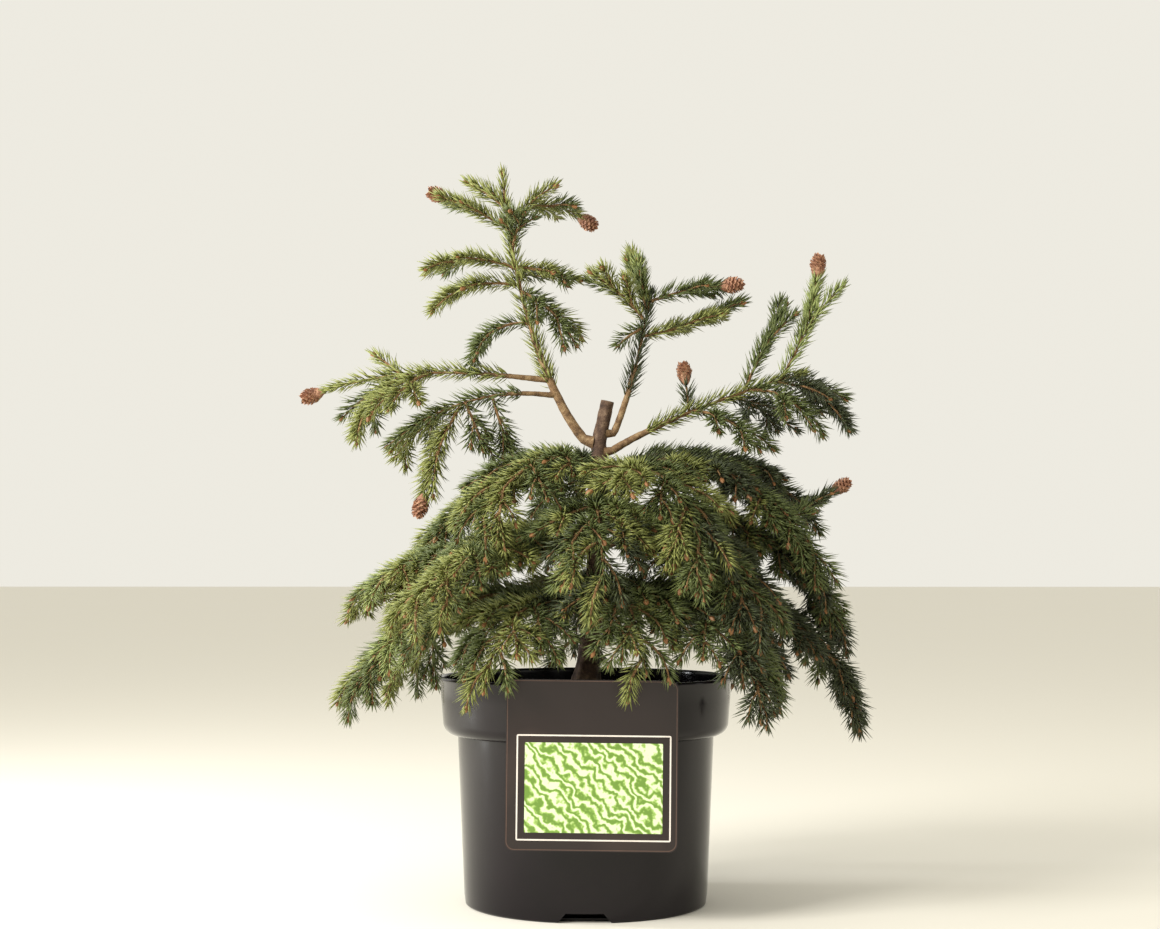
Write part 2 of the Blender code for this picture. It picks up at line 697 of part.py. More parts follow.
def grow_stem(plant, bough, rng):
    """A mass's stem, from just clear of its bough's tip. It ends early where it would touch a neighbour."""
    owner = f"foliage_{bough.name}"
    start = bough.bare + GAP / bough.length
    core = limb_radius(bough, bough.bare)
    spin = rng.uniform(0, math.tau)
    seed = rng.random()
    end = 1.0
    while True:
        rings = round(bough.length * (end - start) / RING_SPACING) + 1
        points = stretch(plant.curves[bough.name], start, end, rings)
        swollen = spray(points, NEEDLE, spin, random.Random(seed), CLEARANCE, core)
        shape = spray(points, NEEDLE, spin, random.Random(seed), core=core)
        meets = plant.touches(owner, bough.name, *swollen) or plant.touches(owner, bough.name, *shape)
        if not meets or end < start + 2 * STEM_CUT:
            break
        end -= STEM_CUT
    plant.add(owner, *shape)
    return points, shape, end


def build_mass(plant, bough, stem, stem_shape, end, material, rng):
    """The foliage on a bough's tip: its stem with every twig that fits, joined into one solid."""
    curve = plant.curves[bough.name]
    owner = f"foliage_{bough.name}"
    shapes = [stem_shape]
    named = [(row.at, tuple(row[1:5]), row.cone) for row in NAMED_SHOOTS.get(bough.name, ())]
    ruled = side_shoots(bough, curve, rng)
    if bough.name in ("left_leader", "right_leader", "left_long", "left_second", "right_high"):
        ruled = []
    for share, shoot, cone in named + ruled:
        root, _ = along(curve, share)
        grown = try_twig(plant, owner, stem, root, shoot, rng) if share < end else None
        if grown is None:
            continue
        twig, shape = grown
        shapes.append(shape)
        plant.add(owner, *shape)
        if cone:
            tip, direction = along(twig, 1)
            fruit = cone_shape(tip, direction, 0.013, 0.0045)
            if not plant.touches(owner, owner, *fruit):
                shapes.append(fruit)
                plant.add(owner, *fruit)
    return join_shapes(owner, shapes, material)


def join_shapes(name, shapes, material):
    """One Boolean union of all the shapes of a mass, applied."""
    twigs = bpy.data.collections.new(f"{name}_twigs")
    bpy.context.scene.collection.children.link(twigs)
    base = new_object(name, *shapes[0], material)
    for index, shape in enumerate(shapes[1:]):
        new_object(f"{name}_twig_{index}", *shape, material, collection=twigs)
    union = base.modifiers.new("union", "BOOLEAN")
    union.operation = "UNION"
    union.operand_type = "COLLECTION"
    union.collection = twigs
    union.solver = "MANIFOLD"
    bake(base)
    for piece in list(twigs.objects):
        bpy.data.objects.remove(piece)
    bpy.data.collections.remove(twigs)
    return base


def clear_scene():
    for piece in list(bpy.data.objects):
        bpy.data.objects.remove(piece)


def shape_of(piece):
    """The vertices and faces of a built object."""
    graph = bpy.context.evaluated_depsgraph_get()
    made = piece.evaluated_get(graph).to_mesh()
    vertices = [vertex.co.copy() for vertex in made.vertices]
    faces = [tuple(face.vertices) for face in made.polygons]
    return vertices, faces


def main():
    clear_scene()
    materials = {
        "pot": colour_material("pot_plastic", (0.018, 0.012, 0.016), 0.22),
        "soil": colour_material("compost", (0.022, 0.014, 0.009), 0.95),
        "card": colour_material("card_plastic", (0.030, 0.016, 0.012), 0.35),
        "bark": colour_material("bark", (0.16, 0.10, 0.06), 0.85),
        "needles": colour_material("needles", (0.065, 0.085, 0.022), 0.55),
    }
    plant = Plant()
    fixed = (
        build_pot(materials["pot"]),
        build_soil(materials["soil"]),
        build_card(materials["card"]),
        build_trunk(materials["bark"]),
    )
    bpy.context.view_layer.update()
    for piece in fixed:
        plant.add(piece.name, *shape_of(piece))
    for bough in BOUGHS:
        build_bough(plant, bough, materials["bark"])
    rngs = [random.Random(SEED + index) for index in range(len(BOUGHS))]
    stems = [grow_stem(plant, bough, rng) for bough, rng in zip(BOUGHS, rngs)]
    for bough, stem, rng in zip(BOUGHS, stems, rngs):
        build_mass(plant, bough, *stem, materials["needles"], rng)


main()
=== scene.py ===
"""The looks of the potted acrocona Norway spruce: bark, needles, cones, compost, pot, label card and light.

Limbs and stems follow the curves of the solids and the named shoots keep their places. The finer side twigs are
drawn by a like rule with seeds of their own. Metres, +Z up.
"""

import json
import math
import random
from collections import namedtuple

import bpy
import numpy as np
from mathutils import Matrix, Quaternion, Vector, noise

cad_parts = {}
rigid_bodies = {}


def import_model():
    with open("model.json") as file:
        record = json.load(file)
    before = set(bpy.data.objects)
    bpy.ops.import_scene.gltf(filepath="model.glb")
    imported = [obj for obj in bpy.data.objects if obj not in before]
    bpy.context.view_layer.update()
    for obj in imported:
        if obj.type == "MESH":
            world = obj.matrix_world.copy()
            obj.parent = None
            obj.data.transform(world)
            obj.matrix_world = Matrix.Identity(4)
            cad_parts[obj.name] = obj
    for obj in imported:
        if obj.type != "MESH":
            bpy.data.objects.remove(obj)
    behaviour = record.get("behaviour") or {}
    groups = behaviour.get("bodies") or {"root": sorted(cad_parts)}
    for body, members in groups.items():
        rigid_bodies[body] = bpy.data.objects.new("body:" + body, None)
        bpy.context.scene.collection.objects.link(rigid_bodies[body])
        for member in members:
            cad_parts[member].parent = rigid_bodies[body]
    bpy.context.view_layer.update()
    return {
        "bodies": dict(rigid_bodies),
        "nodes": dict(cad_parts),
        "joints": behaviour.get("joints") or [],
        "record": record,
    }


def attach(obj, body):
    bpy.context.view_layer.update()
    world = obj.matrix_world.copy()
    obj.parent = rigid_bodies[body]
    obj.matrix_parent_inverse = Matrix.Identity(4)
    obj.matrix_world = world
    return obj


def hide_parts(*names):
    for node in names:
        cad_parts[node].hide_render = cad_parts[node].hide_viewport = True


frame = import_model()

BODY = next(iter(frame["bodies"]))

# The same driving sizes as the solids
POT_HEIGHT = 0.145
RIM_RADIUS = 0.095
RIM_WIDTH = 0.0030
COLLAR_HEIGHT = 0.037
COLLAR_RADIUS = 0.092
COLLAR_ROUND = 0.008
BODY_TOP_RADIUS = 0.0825
FOOT_RADIUS = 0.0778
FOOT_ROUND = 0.002
POT_WALL = 0.0015
NOTCH_COUNT = 4
NOTCH_FOOT = 0.0330
NOTCH_TOP = 0.0230
NOTCH_HEIGHT = 0.0060
NOTCH_DEPTH = 0.0100
SOIL_LEVEL = 0.1330
SOIL_MOUND = 0.0050
CARD_WIDTH = 0.103
CARD_HEIGHT = 0.102
CARD_CORNER = 0.005
CARD_THICKNESS = 0.0006
CARD_TOP = 0.1480
CARD_SHIFT = 0.0045
CARD_ROLL = math.radians(0.6)
TONGUE_WIDTH = 0.018
TONGUE_SLACK = 0.0024
TONGUE_REACH = 0.0080
TRUNK_FOOT = SOIL_LEVEL + SOIL_MOUND
FORK_HEIGHT = 0.2960
STUB_HEIGHT = 0.3230
TRUNK_LEAN = 0.0085
STUB_LEAN = math.radians(12)
TRUNK_FOOT_RADIUS = 0.0068
TRUNK_FORK_RADIUS = 0.0048
STUB_RADIUS = 0.0042
FLARE = 0.0038
FLARE_HEIGHT = 0.0100
FLARE_LOBES = 5
GAP = 0.0003
LIMB_TIP_SHARE = 0.62
COLLAR_SWELL = 1.20
TANGENT_STEP = 0.002
CURVE_STEPS = 40
SHOOT_LENGTH = 0.054
SHOOT_ANGLE = 48
SEED = 20

Bough = namedtuple("Bough", "name parent at compass rise droop ease bend length width bare")
BOUGHS = (
    Bough("left_leader", "trunk", 0.2960, 180, 42, 85, 0.4, -2, 0.186, 0.0066, 0.42),
    Bough("right_leader", "trunk", 0.3030, 0, 62, 80, 0.4, 0, 0.096, 0.0048, 0.50),
    Bough("left_long", "left_leader", 0.26, 184, 6, -20, 1.8, -6, 0.146, 0.0040, 0.28),
    Bough("left_second", "left_leader", 0.20, 198, 6, -42, 1.0, -8, 0.115, 0.0036, 0.30),
    Bough("right_high", "trunk", 0.2900, -6, 34, 16, 0.5, 8, 0.136, 0.0052, 0.36),
    Bough("right_second", "trunk", 0.2790, 24, 22, -46, 1.2, -10, 0.140, 0.0040, 0.32),
    Bough("top_left", "trunk", 0.2800, 172, 8, -74, 0.9, 8, 0.160, 0.0046, 0.24),
    Bough("top_right", "trunk", 0.2740, -12, 30, -82, 0.9, 14, 0.178, 0.0050, 0.30),
    Bough("top_front_left", "trunk", 0.2840, 232, 14, -62, 1.0, -10, 0.120, 0.0042, 0.26),
    Bough("top_front_right", "trunk", 0.2700, 300, 26, -72, 1.0, 6, 0.135, 0.0044, 0.26),
    Bough("top_back", "trunk", 0.2760, 96, 24, -58, 1.0, 10, 0.150, 0.0044, 0.28),
    Bough("middle_left", "trunk", 0.2260, 186, 6, -40, 1.6, -10, 0.158, 0.0044, 0.26),
    Bough("middle_right", "trunk", 0.2450, 4, 20, -74, 1.0, -8, 0.190, 0.0048, 0.28),
    Bough("middle_front", "trunk", 0.2500, 268, 20, -66, 1.0, 10, 0.130, 0.0042, 0.26),
    Bough("middle_front_left", "trunk", 0.2340, 218, 10, -48, 1.1, 10, 0.160, 0.0042, 0.26),
    Bough("middle_front_right", "trunk", 0.2280, 322, 22, -62, 1.0, -8, 0.155, 0.0042, 0.26),
    Bough("middle_back_right", "trunk", 0.2380, 58, 22, -56, 1.0, 8, 0.165, 0.0044, 0.26),
    Bough("middle_back_left", "trunk", 0.2320, 136, 20, -56, 1.0, 8, 0.165, 0.0044, 0.26),
    Bough("low_left", "trunk", 0.1860, 196, 26, -66, 1.0, -8, 0.176, 0.0046, 0.26),
    Bough("low_right", "trunk", 0.1880, 350, 32, -70, 1.0, 10, 0.186, 0.0046, 0.28),
    Bough("low_front_left", "trunk", 0.1800, 236, 34, -70, 1.0, 8, 0.140, 0.0040, 0.26),
    Bough("low_front", "trunk", 0.1940, 282, 32, -72, 1.0, 8, 0.135, 0.0040, 0.26),
    Bough("low_front_right", "trunk", 0.1800, 318, 36, -68, 1.0, -8, 0.165, 0.0040, 0.26),
    Bough("low_back_right", "trunk", 0.1840, 36, 32, -64, 1.0, 10, 0.175, 0.0044, 0.26),
    Bough("low_back", "trunk", 0.1900, 92, 34, -64, 1.0, 8, 0.165, 0.0044, 0.26),
    Bough("low_back_left", "trunk", 0.1840, 148, 32, -64, 1.0, -8, 0.170, 0.0044, 0.26),
)
Shoot = namedtuple("Shoot", "at compass rise droop length cone")
NAMED_SHOOTS = {
    "left_leader": (
        Shoot(0.46, 190, 10, -76, 0.048, False),
        Shoot(0.60, 176, 14, -42, 0.060, False),
        Shoot(0.58, 316, -20, -58, 0.062, False),
        Shoot(0.63, 60, 20, -6, 0.030, False),
        Shoot(0.66, 188, 26, -34, 0.061, False),
        Shoot(0.67, 352, -8, -20, 0.044, False),
        Shoot(0.73, 284, 46, 20, 0.034, False),
        Shoot(0.80, 184, 34, 20, 0.046, True),
        Shoot(0.83, 2, 46, -36, 0.052, True),
        Shoot(0.88, 178, 38, 34, 0.026, False),
        Shoot(0.91, 166, 26, 24, 0.028, False),
    ),
    "right_leader": (
        Shoot(0.70, 10, 10, 30, 0.066, False),
        Shoot(0.80, 216, 46, 26, 0.050, False),
        Shoot(0.94, -10, 20, 4, 0.048, True),
        Shoot(0.90, 160, 68, 74, 0.038, False),
        Shoot(0.86, 196, 74, 88, 0.034, False),
        Shoot(0.76, 222, -20, -40, 0.026, False),
    ),
    "left_long": (
        Shoot(0.50, 232, -14, -50, 0.050, False),
        Shoot(0.62, 206, -30, -72, 0.054, False),
        Shoot(0.64, 150, 40, 30, 0.024, False),
        Shoot(0.66, 136, -14, -60, 0.050, False),
    ),
    "left_second": (
        Shoot(0.52, 214, -56, -76, 0.066, True),
        Shoot(0.56, 150, -20, -50, 0.056, False),
        Shoot(0.50, 300, -44, -60, 0.040, False),
        Shoot(0.34, 318, -70, -60, 0.044, False),
    ),
    "right_high": (
        Shoot(0.42, 120, 84, 76, 0.020, True),
        Shoot(0.44, 318, -4, -50, 0.062, False),
        Shoot(0.60, 40, 8, -46, 0.056, False),
        Shoot(0.70, 20, 66, 60, 0.064, False),
        Shoot(0.72, 322, 4, -60, 0.060, False),
        Shoot(0.84, 344, 2, -66, 0.062, False),
        Shoot(0.88, 4, 56, 84, 0.074, True),
        Shoot(0.92, 40, 6, -50, 0.046, False),
    ),
    "middle_right": (
        Shoot(0.52, 350, 24, 32, 0.056, True),
    ),
}
OPEN_MASSES = ("left_leader", "right_leader", "left_long", "left_second", "right_high")
CONED_TIPS = ("left_long",)

# Pot, compost and card as they are drawn here
POT_STEPS = 192
LIP_FLARE = 0.0012
LIP_FOOT = 0.014
LIP_SHOULDER = 0.0006
BELOW_TABLE = 0.002
NOTCH_REACH = 0.004
SOIL_STEPS = 120
SOIL_RINGS = 46
SOIL_DEPTH = 0.02
SOIL_SLACK = 0.0002
SOIL_EDGE = 0.004
MOUND_REACH = 0.024
CRUMBS = 420
CRUMB_CLEAR = 0.012
TONGUE_LAP = 0.004
PRINT_THICKNESS = 0.00012
PICTURE_MIDDLE = (0.0012, -0.0133)
PICTURE = (0.0825, 0.0535, 0.0006)
WINDOW = (0.0925, 0.0630, 0.0010, 0.0009)
BORDER_INSET = 0.0012
BORDER_LINE = 0.0004

# Bark
TRUNK_SIDES = 28
TRUNK_RINGS = 150
LIMB_SIDES = 14
LIMB_RINGS = 26
LIMB_START = 0.01
LIMB_SINK = 0.0016
FLARE_LOBE_SHARE = 0.45
BARK_DEPTH = 0.00045
BARK_GRAIN = (420, 420, 160)
LIMB_RELIEF_SHARE = 0.6

# Twigs
TWIG_SPACING = 0.0125
TWIG_RADIUS = 0.0011
TWIG_STEPS = 8
TWIG_SIDES = 6
STEM_POINTS = 30
SUB_TWIG_SHARE = 0.55
BRANCHED_LENGTH = 0.034
TRIES = 8
TRY_TURN = 8
TRY_CUT = 0.07
LOWEST_TIP = 0.0930
LOWEST_SLACK = 0.004
POT_CLEAR = 0.0065
BOUGHS_PER_PIECE = 4

# Needles, 10 to 13 mm long as on the real plant
NEEDLES_PER_METRE = 2900
NEEDLE = 0.0118
NEEDLE_WIDTH = 0.00125
NEEDLE_LEAN = 52
NEEDLE_CLEAR = 0.0006
NEW_SPRAY_SHARE = 0.02
# The needle greens carry painted light and shade: sprays towards the key light get a lighter copy of the green,
# sprays to the right and back a darker painted shade copy.
PAINTED_SHADE_BELOW = 0.30
PAINTED_LIGHT_ABOVE = 0.68
GOLDEN_ANGLE = math.radians(137.5)

# Buds and cones
BUD_SHARES = (-0.2, 0.15, 0.5, 0.85, 1.0)
BUD_WIDTHS = (0.30, 0.42, 0.40, 0.18, 0.03)
CONE_CORE_SHARES = (-0.1, 0.1, 0.35, 0.65, 0.9)
CONE_CORE_WIDTHS = (0.3, 0.7, 0.8, 0.65, 0.25)
CONE_SCALES = 64
SCALE_FACES = ((0, 1, 2, 3, 4), (5, 2, 1), (5, 3, 2), (5, 4, 3), (5, 0, 4), (5, 1, 0))

# The photograph's viewing angle
LENS = 60.5
CAMERA_PLACE = (0.012, -1.2675, 0.2206)
CAMERA_PITCH = math.radians(92.76)
CAMERA_TURN = math.radians(0.71)
FLOOR_REACH = 14.0


def linear(colour):
    """A colour given as 0 to 255 in sRGB, as Blender's linear values."""
    values = [part / 255 for part in colour]
    return tuple(part / 12.92 if part <= 0.04045 else ((part + 0.055) / 1.055) ** 2.4 for part in values)


def heading(compass, slope):
    """The unit direction of a compass angle and a slope above the horizontal, both in degrees."""
    flat = math.cos(math.radians(slope))
    return Vector((
        flat * math.cos(math.radians(compass)),
        flat * math.sin(math.radians(compass)),
        math.sin(math.radians(slope)),
    ))


def curve_from(start, compass, rise, droop, ease, bend, length, steps=CURVE_STEPS):
    """Points of a stem whose slope and compass change evenly from its root to its tip."""
    step = length / steps
    points = [start.copy()]
    for index in range(steps):
        share = (index + 0.5) / steps
        slope = rise + (droop - rise) * share ** ease
        points.append(points[-1] + step * heading(compass + bend * share, slope))
    return points


def along(points, share):
    """The place and the direction at a share of a curve's length."""
    place = min(max(share, 0.0), 1.0) * (len(points) - 1)
    first = min(int(place), len(points) - 2)
    run = points[first + 1] - points[first]
    return points[first] + run * (place - first), run.normalized()


def stretch(points, start, end, count):
    """Count points spaced evenly over part of a curve."""
    return [along(points, start + (end - start) * index / (count - 1))[0] for index in range(count)]


def frames_along(points, first_normal=None):
    """A tangent and two side directions at each point, carried along without twist."""
    tangents = []
    for index in range(len(points)):
        before = points[max(index - 1, 0)]
        after = points[min(index + 1, len(points) - 1)]
        tangents.append((after - before).normalized())
    if first_normal is not None:
        tangents[0] = first_normal.normalized()
    level = tangents[0].cross(Vector((0, 0, 1)))
    side = (level if level.length > 0.05 else tangents[0].cross(Vector((1, 0, 0)))).normalized()
    frames = []
    last = tangents[0]
    for tangent in tangents:
        side = last.rotation_difference(tangent) @ side
        side = (side - tangent * side.dot(tangent)).normalized()
        frames.append((tangent, side, side.cross(tangent).normalized()))
        last = tangent
    return frames


def tube(points, radii, sides, first_normal=None, relief=None):
    """A closed tube of one radius a ring, or one a side. Relief gives the length to add at a place."""
    vertices = []
    for centre, radius, (_, side, other) in zip(points, radii, frames_along(points, first_normal)):
        around = radius if isinstance(radius, list) else [radius] * sides
        for index in range(sides):
            angle = math.tau * index / sides
            way = math.cos(angle) * side - math.sin(angle) * other
            place = centre + around[index] * way
            vertices.append(place + way * relief(place) if relief else place)
    faces = [tuple(reversed(range(sides)))]
    for ring in range(len(points) - 1):
        for index in range(sides):
            following = (index + 1) % sides
            low = ring * sides
            high = low + sides
            faces.append((low + index, low + following, high + following, high + index))
    faces.append(tuple(range(len(vertices) - sides, len(vertices))))
    return vertices, faces


def join(shapes):
    """Several (vertices, faces) shapes as one."""
    vertices = []
    faces = []
    for shape_vertices, shape_faces in shapes:
        offset = len(vertices)
        vertices.extend(shape_vertices)
        faces.extend(tuple(index + offset for index in face) for face in shape_faces)
    return vertices, faces


def new_piece(name, vertices, faces, material, slot, replaces=(), smooth=True):
    """A mesh object of these faces that rides on the one body."""
    mesh = bpy.data.meshes.new(name)
    mesh.from_pydata([tuple(vertex) for vertex in vertices], [], faces)
    mesh.validate()
    mesh.materials.append(material)
    if smooth:
        mesh.shade_smooth()
        mesh.set_sharp_from_angle(angle=math.radians(40))
    piece = bpy.data.objects.new(name, mesh)
    bpy.context.scene.collection.objects.link(piece)
    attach(piece, BODY)
    if replaces:
        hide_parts(*replaces)
    return piece


class Nodes:
    """A short way to write a material's nodes."""

    def __init__(self, name):
        self.material = bpy.data.materials.new(name)
        self.material.use_nodes = True
        self.tree = self.material.node_tree
        self.shader = self.tree.nodes["Principled BSDF"]

    def add(self, kind, inputs, **settings):
        """A node with these values on its inputs and these settings."""
        node = self.tree.nodes.new(kind)
        for key, value in settings.items():
            setattr(node, key, value)
        for key, value in inputs.items():
            node.inputs[key].default_value = value
        return node

    def link(self, source, target):
        """A wire from one socket to another."""
        self.tree.links.new(source, target)

    def texture(self, kind, inputs, **settings):
        """The strength of a texture that is laid in the object's own space."""
        node = self.add(kind, inputs, **settings)
        self.link(self.add("ShaderNodeTexCoord", {}).outputs["Object"], node.inputs["Vector"])
        return node.outputs["Fac"]

    def noise(self, scale, detail=4.0, roughness=0.6):
        """A cloudy texture, from 0 to 1."""
        inputs = {"Scale": scale, "Detail": detail, "Roughness": roughness}
        return self.texture("ShaderNodeTexNoise", inputs)

    def colour(self, source, *stops):
        """The base colour, from (place, linear colour) stops along a source."""
        node = self.add("ShaderNodeValToRGB", {})
        elements = node.color_ramp.elements
        while len(elements) < len(stops):
            elements.new(0.5)
        for element, (place, colour) in zip(elements, stops):
            element.position = place
            element.color = (*colour, 1.0)
        self.link(source, node.inputs["Fac"])
        self.link(node.outputs["Color"], self.shader.inputs["Base Color"])

    def roughness(self, source, low, high, low_out, high_out):
        """The roughness, spread between two values as a source goes from low to high."""
        inputs = {"From Min": low, "From Max": high, "To Min": low_out, "To Max": high_out}
        node = self.add("ShaderNodeMapRange", inputs)
        self.link(source, node.inputs["Value"])
        self.link(node.outputs["Result"], self.shader.inputs["Roughness"])

    def bump(self, height, strength, distance):
        """Fine unevenness that only the light shows."""
        node = self.add("ShaderNodeBump", {"Strength": strength, "Distance": distance})
        self.link(height, node.inputs["Height"])
        self.link(node.outputs["Normal"], self.shader.inputs["Normal"])


def needle_material(name, dark, light):
    """Waxy needles: a base colour that varies a little from place to place."""
    nodes = Nodes(name)
    nodes.colour(nodes.noise(260.0, 2.0), (0.34, linear(dark)), (0.66, linear(light)))
    nodes.roughness(nodes.noise(900.0, 1.0), 0.3, 0.7, 0.40, 0.62)
    nodes.shader.inputs["Specular IOR Level"].default_value = 0.45
    return nodes.material


def bark_material(name, dark, middle, light, scale):
    """Rough scaly bark."""
    nodes = Nodes(name)
    broad = nodes.noise(scale, 6.0, 0.65)
    nodes.colour(broad, (0.30, linear(dark)), (0.50, linear(middle)), (0.72, linear(light)))
    nodes.roughness(broad, 0.3, 0.7, 0.92, 0.68)
    nodes.bump(nodes.noise(scale * 2.5, 6.0, 0.7), 0.7, 0.0008)
    return nodes.material


def pot_material():
    """Glossy nearly black plastic with fine scuffs."""
    nodes = Nodes("pot_plastic")
    nodes.colour(nodes.noise(28.0, 5.0, 0.6), (0.35, linear((10, 5, 9))), (0.70, linear((17, 10, 15))))
    nodes.roughness(nodes.noise(90.0, 6.0, 0.7), 0.3, 0.75, 0.08, 0.22)
    nodes.bump(nodes.noise(1400.0, 2.0), 0.06, 0.0002)
    nodes.shader.inputs["IOR"].default_value = 1.50
    nodes.shader.inputs["Specular IOR Level"].default_value = 0.30
    return nodes.material


def soil_material():
    """Moist compost with paler fibres."""
    nodes = Nodes("compost")
    grain = nodes.noise(420.0, 6.0, 0.75)
    nodes.colour(
        grain, (0.32, linear((26, 18, 14))), (0.55, linear((52, 38, 28))), (0.78, linear((104, 80, 58)))
    )
    nodes.shader.inputs["Roughness"].default_value = 0.95
    nodes.bump(grain, 0.9, 0.0012)
    return nodes.material


def card_material():
    """Dark brown satin card, printed with faint paler arcs."""
    nodes = Nodes("card_plastic")
    inputs = {"Scale": 6.0, "Distortion": 9.0, "Detail": 3.0}
    arcs = nodes.texture("ShaderNodeTexWave", inputs, wave_type="RINGS", rings_direction="SPHERICAL")
    nodes.colour(arcs, (0.0, linear((28, 17, 15))), (0.86, linear((31, 19, 17))), (1.0, linear((42, 30, 26))))
    nodes.roughness(nodes.noise(60.0), 0.3, 0.7, 0.28, 0.40)
    return nodes.material


def picture_material():
    """A generic print of soft diagonal strokes in light greens."""
    nodes = Nodes("card_picture")
    inputs = {"Scale": 75.0, "Distortion": 12.0, "Detail": 3.0, "Detail Scale": 1.4}
    strokes = nodes.texture("ShaderNodeTexWave", inputs, wave_type="BANDS", bands_direction="DIAGONAL")
    nodes.colour(
        strokes,
        (0.10, linear((104, 140, 52))),
        (0.38, linear((142, 176, 84))),
        (0.62, linear((178, 204, 128))),
        (0.85, linear((212, 226, 190))),
    )
    nodes.shader.inputs["Roughness"].default_value = 0.35
    return nodes.material


def cone_material():
    """Dry cone scales, red-brown to tan."""
    nodes = Nodes("cone_scales")
    nodes.colour(
        nodes.noise(330.0, 3.0),
        (0.30, linear((112, 72, 56))),
        (0.52, linear((160, 116, 90))),
        (0.74, linear((200, 162, 130))),
    )
    nodes.shader.inputs["Roughness"].default_value = 0.62
    return nodes.material


def plain_material(name, colour, roughness, scale=120.0, change=0.85):
    """A surface of nearly one colour, with faint clouds in its colour and its roughness."""
    nodes = Nodes(name)
    darker = tuple(part * change for part in linear(colour))
    cloud = nodes.noise(scale)
    nodes.colour(cloud, (0.3, darker), (0.7, linear(colour)))
    nodes.roughness(cloud, 0.3, 0.7, roughness * 0.85, roughness * 1.1)
    return nodes.material


def arc(centre, radius, start, end, steps):
    """Points (radius, height) on an arc of a turned profile, angles in degrees."""
    return [
        (
            centre[0] + radius * math.cos(math.radians(start + (end - start) * step / steps)),
            centre[1] + radius * math.sin(math.radians(start + (end - start) * step / steps)),
        )
        for step in range(steps + 1)
    ]


def revolve(profile, steps, lift=None):
    """Turns a profile of (radius, height) points about Z. Lift adds relief to a place."""
    vertices = []
    rings = []
    for radius, height in profile:
        if radius == 0:
            rings.append([len(vertices)] * steps)
            place = Vector((0, 0, height))
            vertices.append(lift(place) if lift else place)
            continue
        rings.append(list(range(len(vertices), len(vertices) + steps)))
        for step in range(steps):
            angle = math.tau * step / steps
            place = Vector((radius * math.cos(angle), radius * math.sin(angle), height))
            vertices.append(lift(place) if lift else place)
    faces = []
    for first, second in zip(rings, rings[1:]):
        for step in range(steps):
            following = (step + 1) % steps
            face = (first[step], first[following], second[following], second[step])
            faces.append(tuple(dict.fromkeys(face)))
    return vertices, faces


def build_pot():
    """The pot as one smooth turned shell with drainage notches in its foot."""
    collar_foot = POT_HEIGHT - COLLAR_HEIGHT
    lip = RIM_WIDTH / 2
    profile = [(0, 0), (FOOT_RADIUS * 0.5, 0)]
    profile += arc((FOOT_RADIUS - FOOT_ROUND, FOOT_ROUND), FOOT_ROUND, -90, 0, 6)
    for step in range(1, 9):
        share = step / 9
        profile.append((FOOT_RADIUS + (BODY_TOP_RADIUS - FOOT_RADIUS) * share, collar_foot * share))
    profile.append((BODY_TOP_RADIUS, collar_foot))
    profile += arc((COLLAR_RADIUS - COLLAR_ROUND, collar_foot + COLLAR_ROUND), COLLAR_ROUND, -80, 0, 10)
    profile.append((COLLAR_RADIUS + LIP_FLARE, POT_HEIGHT - LIP_FOOT))
    profile.append((RIM_RADIUS - LIP_FLARE, POT_HEIGHT - RIM_WIDTH - LIP_SHOULDER))
    profile += arc((RIM_RADIUS - lip, POT_HEIGHT - lip), lip, -20, 180, 12)
    profile += [
        (RIM_RADIUS - RIM_WIDTH, POT_HEIGHT - RIM_WIDTH),
        (COLLAR_RADIUS - POT_WALL, collar_foot + COLLAR_ROUND),
        (BODY_TOP_RADIUS - POT_WALL, collar_foot + POT_WALL),
        (FOOT_RADIUS - POT_WALL, POT_WALL),
        (0, POT_WALL),
    ]
    pot = new_piece("pot_shell", *revolve(profile, POT_STEPS), pot_material(), "pot", ("pot",))
    turns = [math.tau * index / NOTCH_COUNT - math.pi / 2 for index in range(NOTCH_COUNT)]
    vertices, faces = join([notch_block(turn) for turn in turns])
    mesh = bpy.data.meshes.new("notch_blocks")
    mesh.from_pydata([tuple(vertex) for vertex in vertices], [], faces)
    block = bpy.data.objects.new("notch_blocks", mesh)
    bpy.context.scene.collection.objects.link(block)
    cut = pot.modifiers.new("notches", "BOOLEAN")
    cut.object = block
    cut.solver = "EXACT"
    bpy.context.view_layer.update()
    made = bpy.data.meshes.new_from_object(pot.evaluated_get(bpy.context.evaluated_depsgraph_get()))
    pot.modifiers.clear()
    pot.data = made
    bpy.data.objects.remove(block)


def notch_block(turn):
    """A trapezoid block across the foot, wider at the table than at its top."""
    outward = Vector((math.cos(turn), math.sin(turn), 0))
    sideways = Vector((-outward.y, outward.x, 0))
    foot = NOTCH_FOOT + (NOTCH_FOOT - NOTCH_TOP) * BELOW_TABLE / NOTCH_HEIGHT
    corners = (
        (-foot, -BELOW_TABLE), (foot, -BELOW_TABLE), (NOTCH_TOP, NOTCH_HEIGHT), (-NOTCH_TOP, NOTCH_HEIGHT)
    )
    vertices = []
    for reach in (FOOT_RADIUS - NOTCH_DEPTH, FOOT_RADIUS + NOTCH_REACH):
        for width, height in corners:
            vertices.append(outward * reach + sideways * width / 2 + Vector((0, 0, height)))
    faces = [(0, 1, 2, 3), (7, 6, 5, 4), (0, 4, 5, 1), (1, 5, 6, 2), (2, 6, 7, 3), (3, 7, 4, 0)]
    return vertices, [tuple(reversed(face)) for face in faces]


def mound(radius):
    """How high the compost is heaped at a distance from the middle, as a share of the heap."""
    return math.exp(-((radius / MOUND_REACH) ** 2))


def crumble(place):
    """A place on the compost's top, raised or lowered by fine grain and broad lumps."""
    if place.z <= SOIL_LEVEL - SOIL_EDGE:
        return place
    rough = noise.fractal(place * 260, 1.0, 2.0, 4)
    lumps = noise.noise(place * 60)
    return place + Vector((0, 0, 0.0011 * rough + 0.0009 * lumps))


